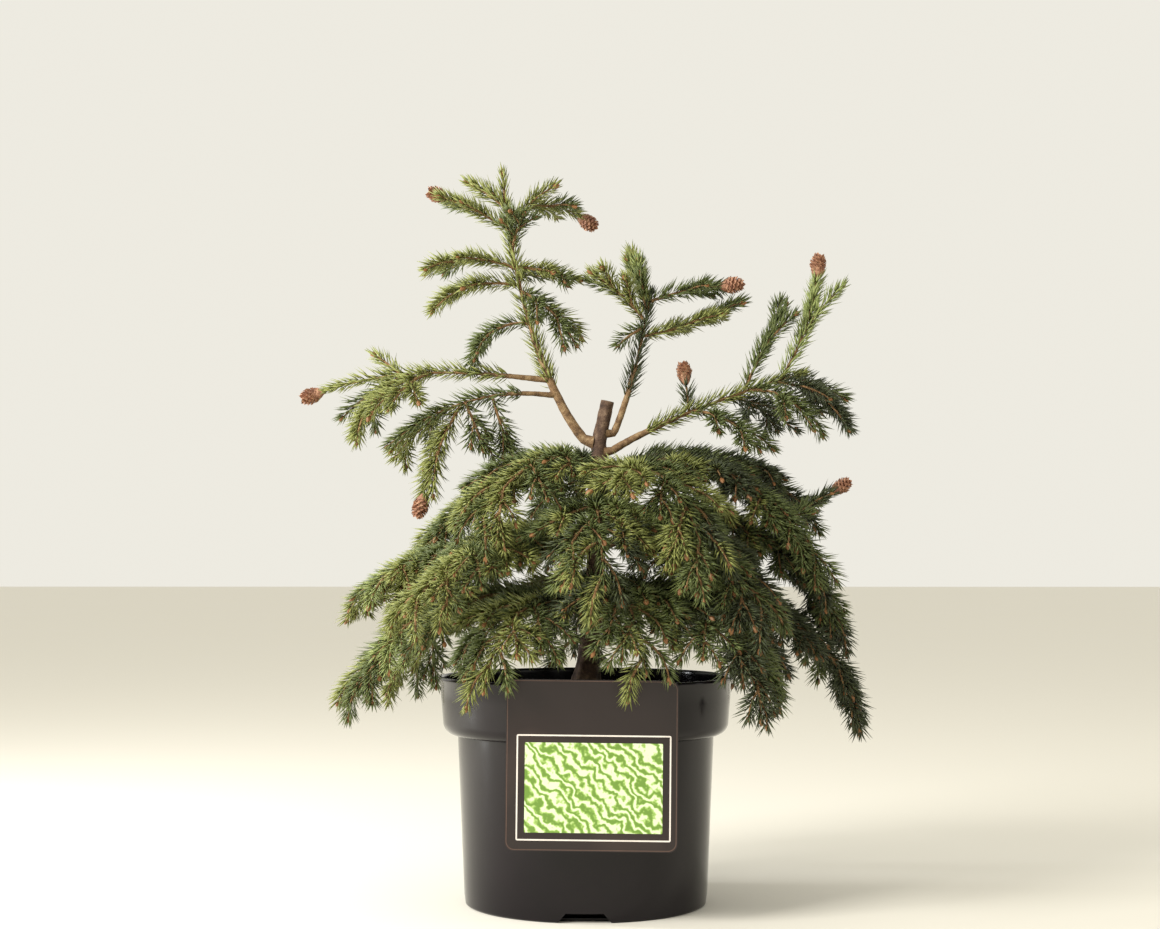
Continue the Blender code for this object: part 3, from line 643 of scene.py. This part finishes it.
def build_soil():
    """Crumbly compost, heaped a little round the trunk, with loose crumbs on it."""
    top = COLLAR_RADIUS - POT_WALL - SOIL_SLACK
    profile = [
        (0, SOIL_LEVEL - SOIL_DEPTH), (top - 0.003, SOIL_LEVEL - SOIL_DEPTH), (top, SOIL_LEVEL - SOIL_EDGE)
    ]
    for ring in range(SOIL_RINGS):
        radius = top * (1 - ring / SOIL_RINGS)
        profile.append((radius, SOIL_LEVEL - 0.0008 + (SOIL_MOUND - 0.0006) * mound(radius)))
    profile.append((0, SOIL_LEVEL + SOIL_MOUND - 0.0012))
    rng = random.Random(SEED)
    crumbs = []
    for _ in range(CRUMBS):
        radius = top * 0.97 * math.sqrt(rng.random())
        angle = rng.uniform(0, math.tau)
        size = rng.uniform(0.0006, 0.0019)
        height = SOIL_LEVEL - 0.0006 + SOIL_MOUND * mound(radius)
        centre = Vector((radius * math.cos(angle), radius * math.sin(angle), height + size * 0.2))
        if radius > CRUMB_CLEAR:
            crumbs.append(crumb(centre, size, rng))
    shape = join([revolve(profile, SOIL_STEPS, crumble)] + crumbs)
    new_piece("compost_top", *shape, soil_material(), "compost", ("soil",))


def crumb(centre, size, rng):
    """A small lump with six uneven corners."""
    ways = [Vector(way) for way in ((1, 0, 0), (0, 1, 0), (-1, 0, 0), (0, -1, 0), (0, 0, 1), (0, 0, -1))]
    corners = [centre + way * size * rng.uniform(0.6, 1.2) for way in ways]
    faces = [(0, 1, 4), (1, 2, 4), (2, 3, 4), (3, 0, 4), (1, 0, 5), (2, 1, 5), (3, 2, 5), (0, 3, 5)]
    return corners, faces


def rounded_outline(width, height, corner, steps=8):
    """Points round a rectangle with round corners about the origin, as (across, up)."""
    outline = []
    for quarter, (across, up) in enumerate(((1, 1), (-1, 1), (-1, -1), (1, -1))):
        centre = (across * (width / 2 - corner), up * (height / 2 - corner))
        outline += arc(centre, corner, 90 * quarter, 90 * (quarter + 1), steps)
    return outline


def prism_faces(count):
    """The faces between two outlines of as many points, with both ends closed."""
    faces = [tuple(range(count)), tuple(range(2 * count - 1, count - 1, -1))]
    for index in range(count):
        following = (index + 1) % count
        faces.append((following, index, index + count, following + count))
    return faces


def plate(width, height, corner, middle, front, back):
    """A flat plate with round corners, its face towards -Y, turned by the card's roll."""
    outline = rounded_outline(width, height, corner)
    roll = Quaternion((0, 1, 0), CARD_ROLL)
    vertices = []
    for depth in (front, back):
        vertices += [Vector((across + middle[0], depth, up + middle[1])) for across, up in outline]
    centre = Vector((CARD_SHIFT, 0, CARD_TOP - CARD_HEIGHT / 2))
    return [centre + roll @ vertex for vertex in vertices], prism_faces(len(outline))


def ring_plate(width, height, corner, line, middle, front, back):
    """A thin frame: a plate's outline with its inside left open."""
    outer, _ = plate(width, height, corner, middle, front, back)
    inner, _ = plate(width - 2 * line, height - 2 * line, max(corner - line, 0.0002), middle, front, back)
    count = len(outer) // 2
    vertices = outer + inner
    faces = []
    for index in range(count):
        following = (index + 1) % count
        a, b = index, following
        c, d = index + 2 * count, following + 2 * count
        faces.append((a, b, d, c))
        faces.append((b, a, a + count, b + count))
        faces.append((c, d, d + count, c + count))
        faces.append((b + count, a + count, c + count, d + count))
    return vertices, faces


def tongue(front):
    """The tongue that hooks the card over the rim, hanging down inside the pot."""
    over = POT_HEIGHT + GAP
    foot = over - TONGUE_LAP
    middle = front + CARD_THICKNESS / 2
    back = front + CARD_THICKNESS
    inside = -(RIM_RADIUS - RIM_WIDTH - TONGUE_SLACK)
    inner = inside - CARD_THICKNESS
    section = [
        (middle, foot), (middle, over + CARD_THICKNESS), (inside, over + CARD_THICKNESS),
        (inside, over - TONGUE_REACH), (inner, over - TONGUE_REACH), (inner, over),
        (back, over), (back, foot),
    ]
    vertices = []
    for across in (CARD_SHIFT - TONGUE_WIDTH / 2, CARD_SHIFT + TONGUE_WIDTH / 2):
        vertices += [Vector((across, depth, height)) for depth, height in section]
    return vertices, prism_faces(len(section))


def build_card():
    """The label card: plate, hooked tongue, edge line, white frame and a generic green picture."""
    front = -(RIM_RADIUS + GAP + CARD_THICKNESS)
    back = -(RIM_RADIUS + GAP)
    layer = (front - PRINT_THICKNESS, front)
    size = (CARD_WIDTH - BORDER_INSET, CARD_HEIGHT - BORDER_INSET, CARD_CORNER, BORDER_LINE)
    base = plate(CARD_WIDTH, CARD_HEIGHT, CARD_CORNER, (0, 0), front, back)
    new_piece("card_plate", *join([base, tongue(front)]), card_material(), "card", ("label_card",))
    white = plain_material("card_white_print", (232, 224, 216), 0.4)
    edge = plain_material("card_edge_line", (96, 72, 62), 0.4)
    window = ring_plate(*WINDOW, PICTURE_MIDDLE, *layer)
    border = ring_plate(*size, (0, 0), *layer)
    panel = plate(*PICTURE, PICTURE_MIDDLE, *layer)
    new_piece("card_window_line", *window, white, "card", smooth=False)
    new_piece("card_border_line", *border, edge, "card", smooth=False)
    new_piece("card_picture", *panel, picture_material(), "card", smooth=False)


def trunk_point(height):
    """The trunk's axis at a height: it leans to +X, and the stub above the fork leans more."""
    climbed = min((height - TRUNK_FOOT) / (FORK_HEIGHT - TRUNK_FOOT), 1.0)
    lean = TRUNK_LEAN * (1 - (1 - climbed) ** 2)
    over = max(height - FORK_HEIGHT, 0.0) * math.tan(STUB_LEAN)
    return Vector((lean + over, 0, height))


def trunk_radius(height):
    """The trunk's radius at a height, without the root flare."""
    if height > FORK_HEIGHT:
        share = (height - FORK_HEIGHT) / (STUB_HEIGHT - FORK_HEIGHT)
        return TRUNK_FORK_RADIUS + (STUB_RADIUS - TRUNK_FORK_RADIUS) * share
    share = (height - TRUNK_FOOT) / (FORK_HEIGHT - TRUNK_FOOT)
    return TRUNK_FOOT_RADIUS + (TRUNK_FORK_RADIUS - TRUNK_FOOT_RADIUS) * share


def bark_relief(place):
    """Flaky ridges that stand out of a limb by a fraction of a millimetre."""
    stretched = place * Vector(BARK_GRAIN)
    return BARK_DEPTH * noise.fractal(stretched, 1.0, 2.0, 3)


def limb_relief(place):
    """The shallower relief of the limbs."""
    return LIMB_RELIEF_SHARE * bark_relief(place)


def build_trunk():
    """The trunk with its lobed flare and bark relief, up to the cut top of the stub."""
    points = []
    radii = []
    for ring in range(TRUNK_RINGS + 1):
        height = TRUNK_FOOT + (STUB_HEIGHT - TRUNK_FOOT) * ring / TRUNK_RINGS
        points.append(trunk_point(height))
        flare = FLARE * math.exp(-(height - TRUNK_FOOT) / FLARE_HEIGHT)
        lobes = [math.cos(FLARE_LOBES * math.tau * side / TRUNK_SIDES) for side in range(TRUNK_SIDES)]
        radii.append([trunk_radius(height) + flare * (1 + FLARE_LOBE_SHARE * lobe) for lobe in lobes])
    shape = tube(points, radii, TRUNK_SIDES, Vector((0, 0, 1)), bark_relief)
    # The trunk's bark is darker than the boughs': partly older bark, partly painted shade from the crown around
    # it.
    material = bark_material("trunk_bark", (44, 30, 24), (88, 66, 50), (132, 108, 84), 190.0)
    new_piece("trunk_bark", *shape, material, "bark", ("trunk",))


def limb_radius(bough, share):
    """The radius of a bough's limb at a share of the bough's whole length."""
    return bough.width / 2 * (1 - (1 - LIMB_TIP_SHARE) * min(share / bough.bare, 1.0))


def bough_root(curves, bough):
    """Where a bough leaves its parent, just clear of the parent's side, and the way out of it."""
    if bough.parent == "trunk":
        centre = trunk_point(bough.at)
        tangent = (trunk_point(bough.at + TANGENT_STEP) - trunk_point(bough.at - TANGENT_STEP)).normalized()
        radius = trunk_radius(bough.at)
    else:
        centre, tangent = along(curves[bough.parent], bough.at)
        parent = next(other for other in BOUGHS if other.name == bough.parent)
        radius = limb_radius(parent, bough.at)
    outward = heading(bough.compass, 0)
    outward = (outward - tangent * outward.dot(tangent)).normalized()
    return centre + outward * (radius + GAP), outward


def grow_curves():
    """Every bough's curve, with its root and the way out of its parent."""
    curves = {}
    roots = {}
    for bough in BOUGHS:
        root, outward = bough_root(curves, bough)
        knee = root + outward * bough.width / 2 * (0.4 + math.sin(math.radians(max(bough.rise, 0))))
        curves[bough.name] = curve_from(
            knee, bough.compass, bough.rise, bough.droop, bough.ease, bough.bend, bough.length
        )
        roots[bough.name] = (root, outward)
    return curves, roots


def build_boughs(curves, roots):
    """All the limbs, with bark relief. Each reaches a little into what carries it."""
    shapes = []
    for bough in BOUGHS:
        root, outward = roots[bough.name]
        inner = root - outward * LIMB_SINK
        points = [inner, root] + stretch(curves[bough.name], LIMB_START, bough.bare, LIMB_RINGS)
        radii = [bough.width / 2 * COLLAR_SWELL * 1.25, bough.width / 2 * COLLAR_SWELL]
        radii += [limb_radius(bough, bough.bare * ring / (LIMB_RINGS - 1)) for ring in range(LIMB_RINGS)]
        shapes.append(tube(points, radii, LIMB_SIDES, outward, limb_relief))
    material = bark_material("bough_bark", (74, 54, 36), (126, 98, 66), (164, 138, 100), 260.0)
    nodes = [f"bough_{bough.name}" for bough in BOUGHS]
    new_piece("bough_bark", *join(shapes), material, "bark", nodes)


def blocked(place):
    """Whether a place is in or too near the pot, the compost or the card, or too low."""
    radius = math.hypot(place.x, place.y)
    if place.z < LOWEST_TIP + LOWEST_SLACK:
        return True
    if radius < RIM_RADIUS + POT_CLEAR and place.z < POT_HEIGHT + POT_CLEAR:
        return radius > RIM_RADIUS - RIM_WIDTH - POT_CLEAR or place.z < SOIL_LEVEL + POT_CLEAR
    near_card = abs(place.x - CARD_SHIFT) < CARD_WIDTH / 2 + POT_CLEAR and place.z < CARD_TOP + POT_CLEAR
    return near_card and -RIM_RADIUS - CARD_THICKNESS - POT_CLEAR * 0.8 < place.y < 0


Twig = namedtuple("Twig", "points radius tone bough")


def fitting_curve(start, compass, rise, droop, length, rng):
    """A twig's curve, lifted, turned or shortened until it clears the pot, or None."""
    for attempt in range(TRIES):
        loose = TRY_TURN * attempt
        turned = compass + rng.uniform(-loose, loose)
        lifted = rise + 0.6 * loose * rng.random()
        tip_slope = droop + rng.uniform(-0.3, 1.0) * loose
        bend = rng.uniform(-14, 14)
        shortened = length * (1 - TRY_CUT * attempt)
        curve = curve_from(start, turned, lifted, tip_slope, 1.0, bend, shortened, TWIG_STEPS)
        if not any(blocked(point) for point in curve[2:]):
            return curve
    return None


def tone_of(place, rng):
    """The needle tone of a spray by its place in the crown, as painted light and shade: 0 painted shade in a
    dark green, 1 middle, 2 painted light in olive, 3 pale new growth.
    """
    # Painted light and shade: the score rises towards -X, -Y and up, the side the key light comes from, with a
    # random spread.
    lit = 0.5 - 2.1 * place.x - 0.9 * place.y + 1.1 * (place.z - 0.2) + rng.uniform(-0.42, 0.42)
    if rng.random() < NEW_SPRAY_SHARE:
        return 3
    return 0 if lit < PAINTED_SHADE_BELOW else 1 if lit < PAINTED_LIGHT_ABOVE else 2


def shoot_heading(curve, share):
    """The compass and the slope of a curve at a share of its length, in degrees."""
    _, tangent = along(curve, share)
    compass = math.degrees(math.atan2(tangent.y, tangent.x))
    return compass, math.degrees(math.asin(max(-1.0, min(1.0, tangent.z))))


def add_twig(twigs, start, compass, rise, droop, length, radius, bough, rng):
    """Adds a twig that fits, then its own side twigs where it is long enough."""
    curve = fitting_curve(start, compass, rise, droop, length, rng)
    if curve is None:
        return None
    tone = tone_of(curve[-1], rng)
    twigs.append(Twig(curve, radius, tone, bough))
    if length < BRANCHED_LENGTH:
        return curve
    side = rng.choice((-1, 1))
    share = rng.uniform(0.22, 0.34)
    while share < 0.80:
        own_compass, slope = shoot_heading(curve, share)
        root, _ = along(curve, share)
        sub_length = length * SUB_TWIG_SHARE * (1.15 - 0.55 * share) * rng.uniform(0.8, 1.15)
        swing = side * SHOOT_ANGLE * rng.uniform(0.75, 1.1)
        rise = slope * 0.8 + rng.uniform(-6, 10)
        droop_to = slope - rng.uniform(8, 30)
        small = fitting_curve(root, own_compass + swing, rise, droop_to, sub_length, rng)
        if small is not None:
            near = tone if rng.random() < 0.75 else tone_of(small[-1], rng)
            twigs.append(Twig(small, radius * 0.75, near, bough))
        side = -side
        share += rng.uniform(0.15, 0.24)
    return curve


def grow_twigs(curves):
    """Every needle-clad twig of the crown, and the ends that carry cones."""
    twigs = []
    cones = []
    for index, bough in enumerate(BOUGHS):
        rng = random.Random(SEED + 100 + index)
        curve = curves[bough.name]
        open_mass = bough.name in OPEN_MASSES
        first = bough.bare * (0.45 if open_mass else 0.30)
        stem = stretch(curve, first, 1, STEM_POINTS)
        twigs.append(Twig(stem, limb_radius(bough, bough.bare) * 0.9, tone_of(stem[-1], rng), bough.name))
        if bough.name in CONED_TIPS:
            cones.append((stem[-1], (stem[-1] - stem[-2]).normalized(), bough.name))
        for row in NAMED_SHOOTS.get(bough.name, ()):
            root, _ = along(curve, row.at)
            shape = (row.compass, row.rise, row.droop, row.length)
            made = add_twig(twigs, root, *shape, TWIG_RADIUS, bough.name, rng)
            if made and row.cone:
                cones.append((made[-1], (made[-1] - made[-2]).normalized(), bough.name))
        if open_mass:
            continue
        share = first
        side = rng.choice((-1, 1))
        while share < 0.96:
            compass, slope = shoot_heading(curve, share)
            root, _ = along(curve, share)
            grown = min(1.0, (share + 0.25) / (bough.bare + 0.30))
            left = (1 - share) / (1 - bough.bare)
            length = SHOOT_LENGTH * grown * (0.62 + 0.42 * min(left, 1.0)) * rng.uniform(0.8, 1.12)
            swing = side * SHOOT_ANGLE * rng.uniform(0.75, 1.2)
            rise = slope * 0.6 + rng.uniform(-8, 14)
            droop = max(min(slope, 0) - rng.uniform(18, 42), -84)
            add_twig(twigs, root, compass + swing, rise, droop, length, TWIG_RADIUS, bough.name, rng)
            side = -side
            share += TWIG_SPACING / bough.length * rng.uniform(0.8, 1.2)
    return twigs, cones


def column(values):
    """A row of numbers as a column, to scale one vector each."""
    return values[:, None]


def unit(vectors):
    """Each vector at length one."""
    return vectors / column(np.linalg.norm(vectors, axis=1))


def clear_of_pot(tip):
    """Which needle tips are out of the pot, the compost and the card, and not too low."""
    across, depth, height = tip[:, 0], tip[:, 1], tip[:, 2]
    radius = np.hypot(across, depth)
    in_pot = (radius < RIM_RADIUS + NEEDLE_CLEAR) & (height < POT_HEIGHT + NEEDLE_CLEAR)
    in_pot &= (radius > RIM_RADIUS - RIM_WIDTH - 0.001) | (height < SOIL_LEVEL + 0.001)
    in_card = (np.abs(across - CARD_SHIFT) < CARD_WIDTH / 2 + 0.0005) & (height < CARD_TOP + 0.0005)
    in_card &= (depth > -RIM_RADIUS - CARD_THICKNESS - NEEDLE_CLEAR) & (depth < -RIM_RADIUS + 0.002)
    return ~(in_pot | in_card) & (height > LOWEST_TIP - LOWEST_SLACK)


def needles_of_twig(twig, rng):
    """The five corners of each needle on a twig, set in a spiral, leaning forward and closing at the tip."""
    frames = frames_along(twig.points)
    path = np.array([tuple(point) for point in twig.points])
    reach = np.concatenate([[0], np.cumsum(np.linalg.norm(np.diff(path, axis=0), axis=1))])
    length = reach[-1]
    count = max(int(length * NEEDLES_PER_METRE), 8)
    place = np.sort(rng.uniform(0.03, 1.0, count)) * length
    share = place / length
    rows = [path] + [np.array([tuple(frame[part]) for frame in frames]) for part in range(3)]
    centre, tangent, side, other = (
        np.stack([np.interp(place, reach, row[:, axis]) for axis in range(3)], axis=1) for row in rows
    )
    angle = np.arange(count) * GOLDEN_ANGLE + rng.normal(0, 0.35, count)
    outward = column(np.cos(angle)) * side + column(np.sin(angle)) * other
    above = np.clip(outward[:, 2], 0, 1)
    under = np.clip(-outward[:, 2], 0, 1)
    lean = np.radians(NEEDLE_LEAN - 26 * share ** 3 - 8 * above + rng.normal(0, 7, count))
    way = column(np.sin(lean)) * outward + column(np.cos(lean)) * tangent
    way[:, 2] += 0.16
    way = unit(way)
    size = NEEDLE * rng.uniform(0.80, 1.10, count) * (1 - 0.35 * share ** 4) * (1 - 0.22 * under)
    size *= 0.62 + 0.38 * np.clip(place / 0.010, 0, 1)
    across = unit(np.cross(way, outward))
    lift = np.cross(across, way)
    half = NEEDLE_WIDTH / 2
    base = centre + outward * twig.radius * 0.5
    middle = base + way * column(size * 0.42) + tangent * column(size * 0.035)
    tip = base + way * column(size) + tangent * column(size * 0.10)
    ring = [middle + across * half, middle + lift * half * 0.9, middle - across * half]
    return np.stack([base, *ring, tip], axis=1)[clear_of_pot(tip)]


def needles_of(twigs, seed):
    """The needles of some twigs, as one array."""
    rng = np.random.default_rng(seed)
    return np.concatenate([needles_of_twig(twig, rng) for twig in twigs])


def needle_piece(name, bodies, material, replaces):
    """One joined mesh of needles, each of six triangles."""
    count = len(bodies)
    corners = np.array([(0, 2, 1), (0, 3, 2), (0, 1, 3), (4, 1, 2), (4, 2, 3), (4, 3, 1)], np.int32)
    faces = (corners[None] + (np.arange(count, dtype=np.int32) * 5)[:, None, None]).reshape(-1, 3)
    mesh = bpy.data.meshes.new(name)
    mesh.vertices.add(count * 5)
    mesh.vertices.foreach_set("co", bodies.reshape(-1).astype(np.float32))
    mesh.loops.add(len(faces) * 3)
    mesh.loops.foreach_set("vertex_index", faces.reshape(-1))
    mesh.polygons.add(len(faces))
    mesh.polygons.foreach_set("loop_start", np.arange(0, len(faces) * 3, 3, dtype=np.int32))
    mesh.polygons.foreach_set("use_smooth", np.ones(len(faces), bool))
    mesh.update(calc_edges=True)
    mesh.materials.append(material)
    piece = bpy.data.objects.new(name, mesh)
    bpy.context.scene.collection.objects.link(piece)
    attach(piece, BODY)
    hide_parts(*replaces)


def build_foliage(twigs):
    """Needles, twigs and buds, joined by kind in groups of neighbouring boughs."""
    # Dark, middle and lit are one needle green with painted shade and painted light laid in; new is the pale
    # new growth.
    tones = (
        needle_material("needles_dark", (48, 56, 34), (76, 84, 50)),
        needle_material("needles_middle", (74, 86, 44), (108, 118, 64)),
        needle_material("needles_lit", (104, 112, 54), (150, 154, 84)),
        needle_material("needles_new", (118, 132, 70), (154, 164, 100)),
    )
    twig_bark = bark_material("twig_bark", (92, 66, 40), (138, 104, 66), (172, 140, 96), 420.0)
    bud_material = plain_material("bud_scales", (150, 104, 62), 0.6, 500.0, 0.6)
    names = [bough.name for bough in BOUGHS]
    for start in range(0, len(names), BOUGHS_PER_PIECE):
        chunk = names[start:start + BOUGHS_PER_PIECE]
        group = start // BOUGHS_PER_PIECE
        nodes = [f"foliage_{name}" for name in chunk]
        own = [twig for twig in twigs if twig.bough in chunk]
        for tone, material in enumerate(tones):
            chosen = [twig for twig in own if twig.tone == tone]
            if chosen:
                bodies = needles_of(chosen, SEED + 10 * group + tone)
                needle_piece(f"needles_{group}_{tone}", bodies, material, nodes)
        stems = []
        buds = []
        rng = random.Random(SEED + 500 + group)
        for twig in own:
            count = len(twig.points)
            radii = [twig.radius * (1 - 0.55 * index / (count - 1)) for index in range(count)]
            stems.append(tube(twig.points, radii, TWIG_SIDES))
            buds.append(bud(twig, rng))
        new_piece(f"twigs_{group}", *join(stems), twig_bark, "bark", nodes)
        new_piece(f"buds_{group}", *join(buds), bud_material, "bark", nodes)


def bud(twig, rng):
    """A pointed winter bud on a twig's tip."""
    tip = twig.points[-1]
    way = (twig.points[-1] - twig.points[-2]).normalized()
    size = rng.uniform(0.0028, 0.0042)
    points = [tip + way * size * share for share in BUD_SHARES]
    return tube(points, [size * width for width in BUD_WIDTHS], TWIG_SIDES)


def cone_scales(base, way, length, radius, rng):
    """A young cone: rows of pointed overlapping scales set in a spiral round a swelling core."""
    side = way.cross(Vector((0.3, 0.2, 1))).normalized()
    other = way.cross(side)
    points = [base + way * length * share for share in CONE_CORE_SHARES]
    shapes = [tube(points, [radius * width for width in CONE_CORE_WIDTHS], 10)]
    for index in range(CONE_SCALES):
        share = index / CONE_SCALES
        angle = index * GOLDEN_ANGLE
        outward = math.cos(angle) * side + math.sin(angle) * other
        across = way.cross(outward).normalized()
        swell = radius * math.sin(math.pi * (0.12 + 0.80 * share)) ** 0.6
        root = base + way * length * share * 0.94 + outward * swell * 0.55
        width = radius * 0.42 * (1 - 0.35 * share)
        lip = root + outward * swell * rng.uniform(0.42, 0.60) + way * length * 0.10
        tip = lip + way * length * rng.uniform(0.06, 0.10) + outward * radius * 0.10
        corners = [
            root - across * width * 0.7, root + across * width * 0.7,
            lip + across * width, tip, lip - across * width,
            root - outward * 0.0004 + way * length * 0.06,
        ]
        shapes.append((corners, SCALE_FACES))
    return join(shapes)


def build_cones(cones):
    """The small immature cones on the shoot ends."""
    rng = random.Random(SEED + 900)
    shapes = []
    for base, way, _ in cones:
        length = rng.uniform(0.0115, 0.0140)
        shapes.append(cone_scales(base, way, length, rng.uniform(0.0044, 0.0052), rng))
    replaced = sorted({f"foliage_{name}" for _, _, name in cones})
    new_piece("cones", *join(shapes), cone_material(), "bark", replaced, smooth=False)


def build_stage():
    """A pale floor and a world of the same cream."""
    mesh = bpy.data.meshes.new("floor")
    corners = [(FLOOR_REACH * x, FLOOR_REACH * y, 0) for x, y in ((-1, -1), (1, -1), (1, 1), (-1, 1))]
    mesh.from_pydata(corners, [], [(0, 1, 2, 3)])
    floor = bpy.data.objects.new("floor", mesh)
    bpy.context.scene.collection.objects.link(floor)
    mesh.materials.append(plain_material("floor_paper", (232, 228, 216), 0.9, 2.0, 0.995))
    world = bpy.data.worlds.new("studio")
    world.use_nodes = True
    background = world.node_tree.nodes["Background"]
    background.inputs["Color"].default_value = (*linear((243, 240, 230)), 1)
    background.inputs["Strength"].default_value = 0.95
    bpy.context.scene.world = world


def add_light(name, place, target, width, height, energy, colour):
    """A soft rectangular light that faces a target."""
    data = bpy.data.lights.new(name, "AREA")
    data.energy = energy
    data.color = colour
    data.shape = "RECTANGLE"
    data.size = width
    data.size_y = height
    light = bpy.data.objects.new(name, data)
    light.location = place
    light.rotation_euler = (Vector(target) - Vector(place)).to_track_quat("-Z", "Y").to_euler()
    bpy.context.scene.collection.objects.link(light)


def build_camera_and_lights():
    """The photograph's viewing angle, a key light from the upper left and a strip for the pot's gloss."""
    data = bpy.data.cameras.new("camera")
    data.lens = LENS
    camera = bpy.data.objects.new("camera", data)
    camera.location = CAMERA_PLACE
    camera.rotation_euler = (CAMERA_PITCH, 0, CAMERA_TURN)
    bpy.context.scene.collection.objects.link(camera)
    bpy.context.scene.camera = camera
    add_light("key", (-1.25, -1.0, 1.05), (0, 0, 0.24), 0.7, 0.7, 40, (1.0, 0.98, 0.94))
    add_light("strip", (-1.1, 0.15, 0.35), (0, 0, 0.12), 0.12, 1.1, 11, (0.95, 0.97, 1.0))
    bpy.context.scene.view_settings.view_transform = "Standard"


def main():
    build_camera_and_lights()
    build_stage()
    build_pot()
    build_soil()
    build_card()
    build_trunk()
    curves, roots = grow_curves()
    build_boughs(curves, roots)
    twigs, cones = grow_twigs(curves)
    build_foliage(twigs)
    build_cones(cones)


main()
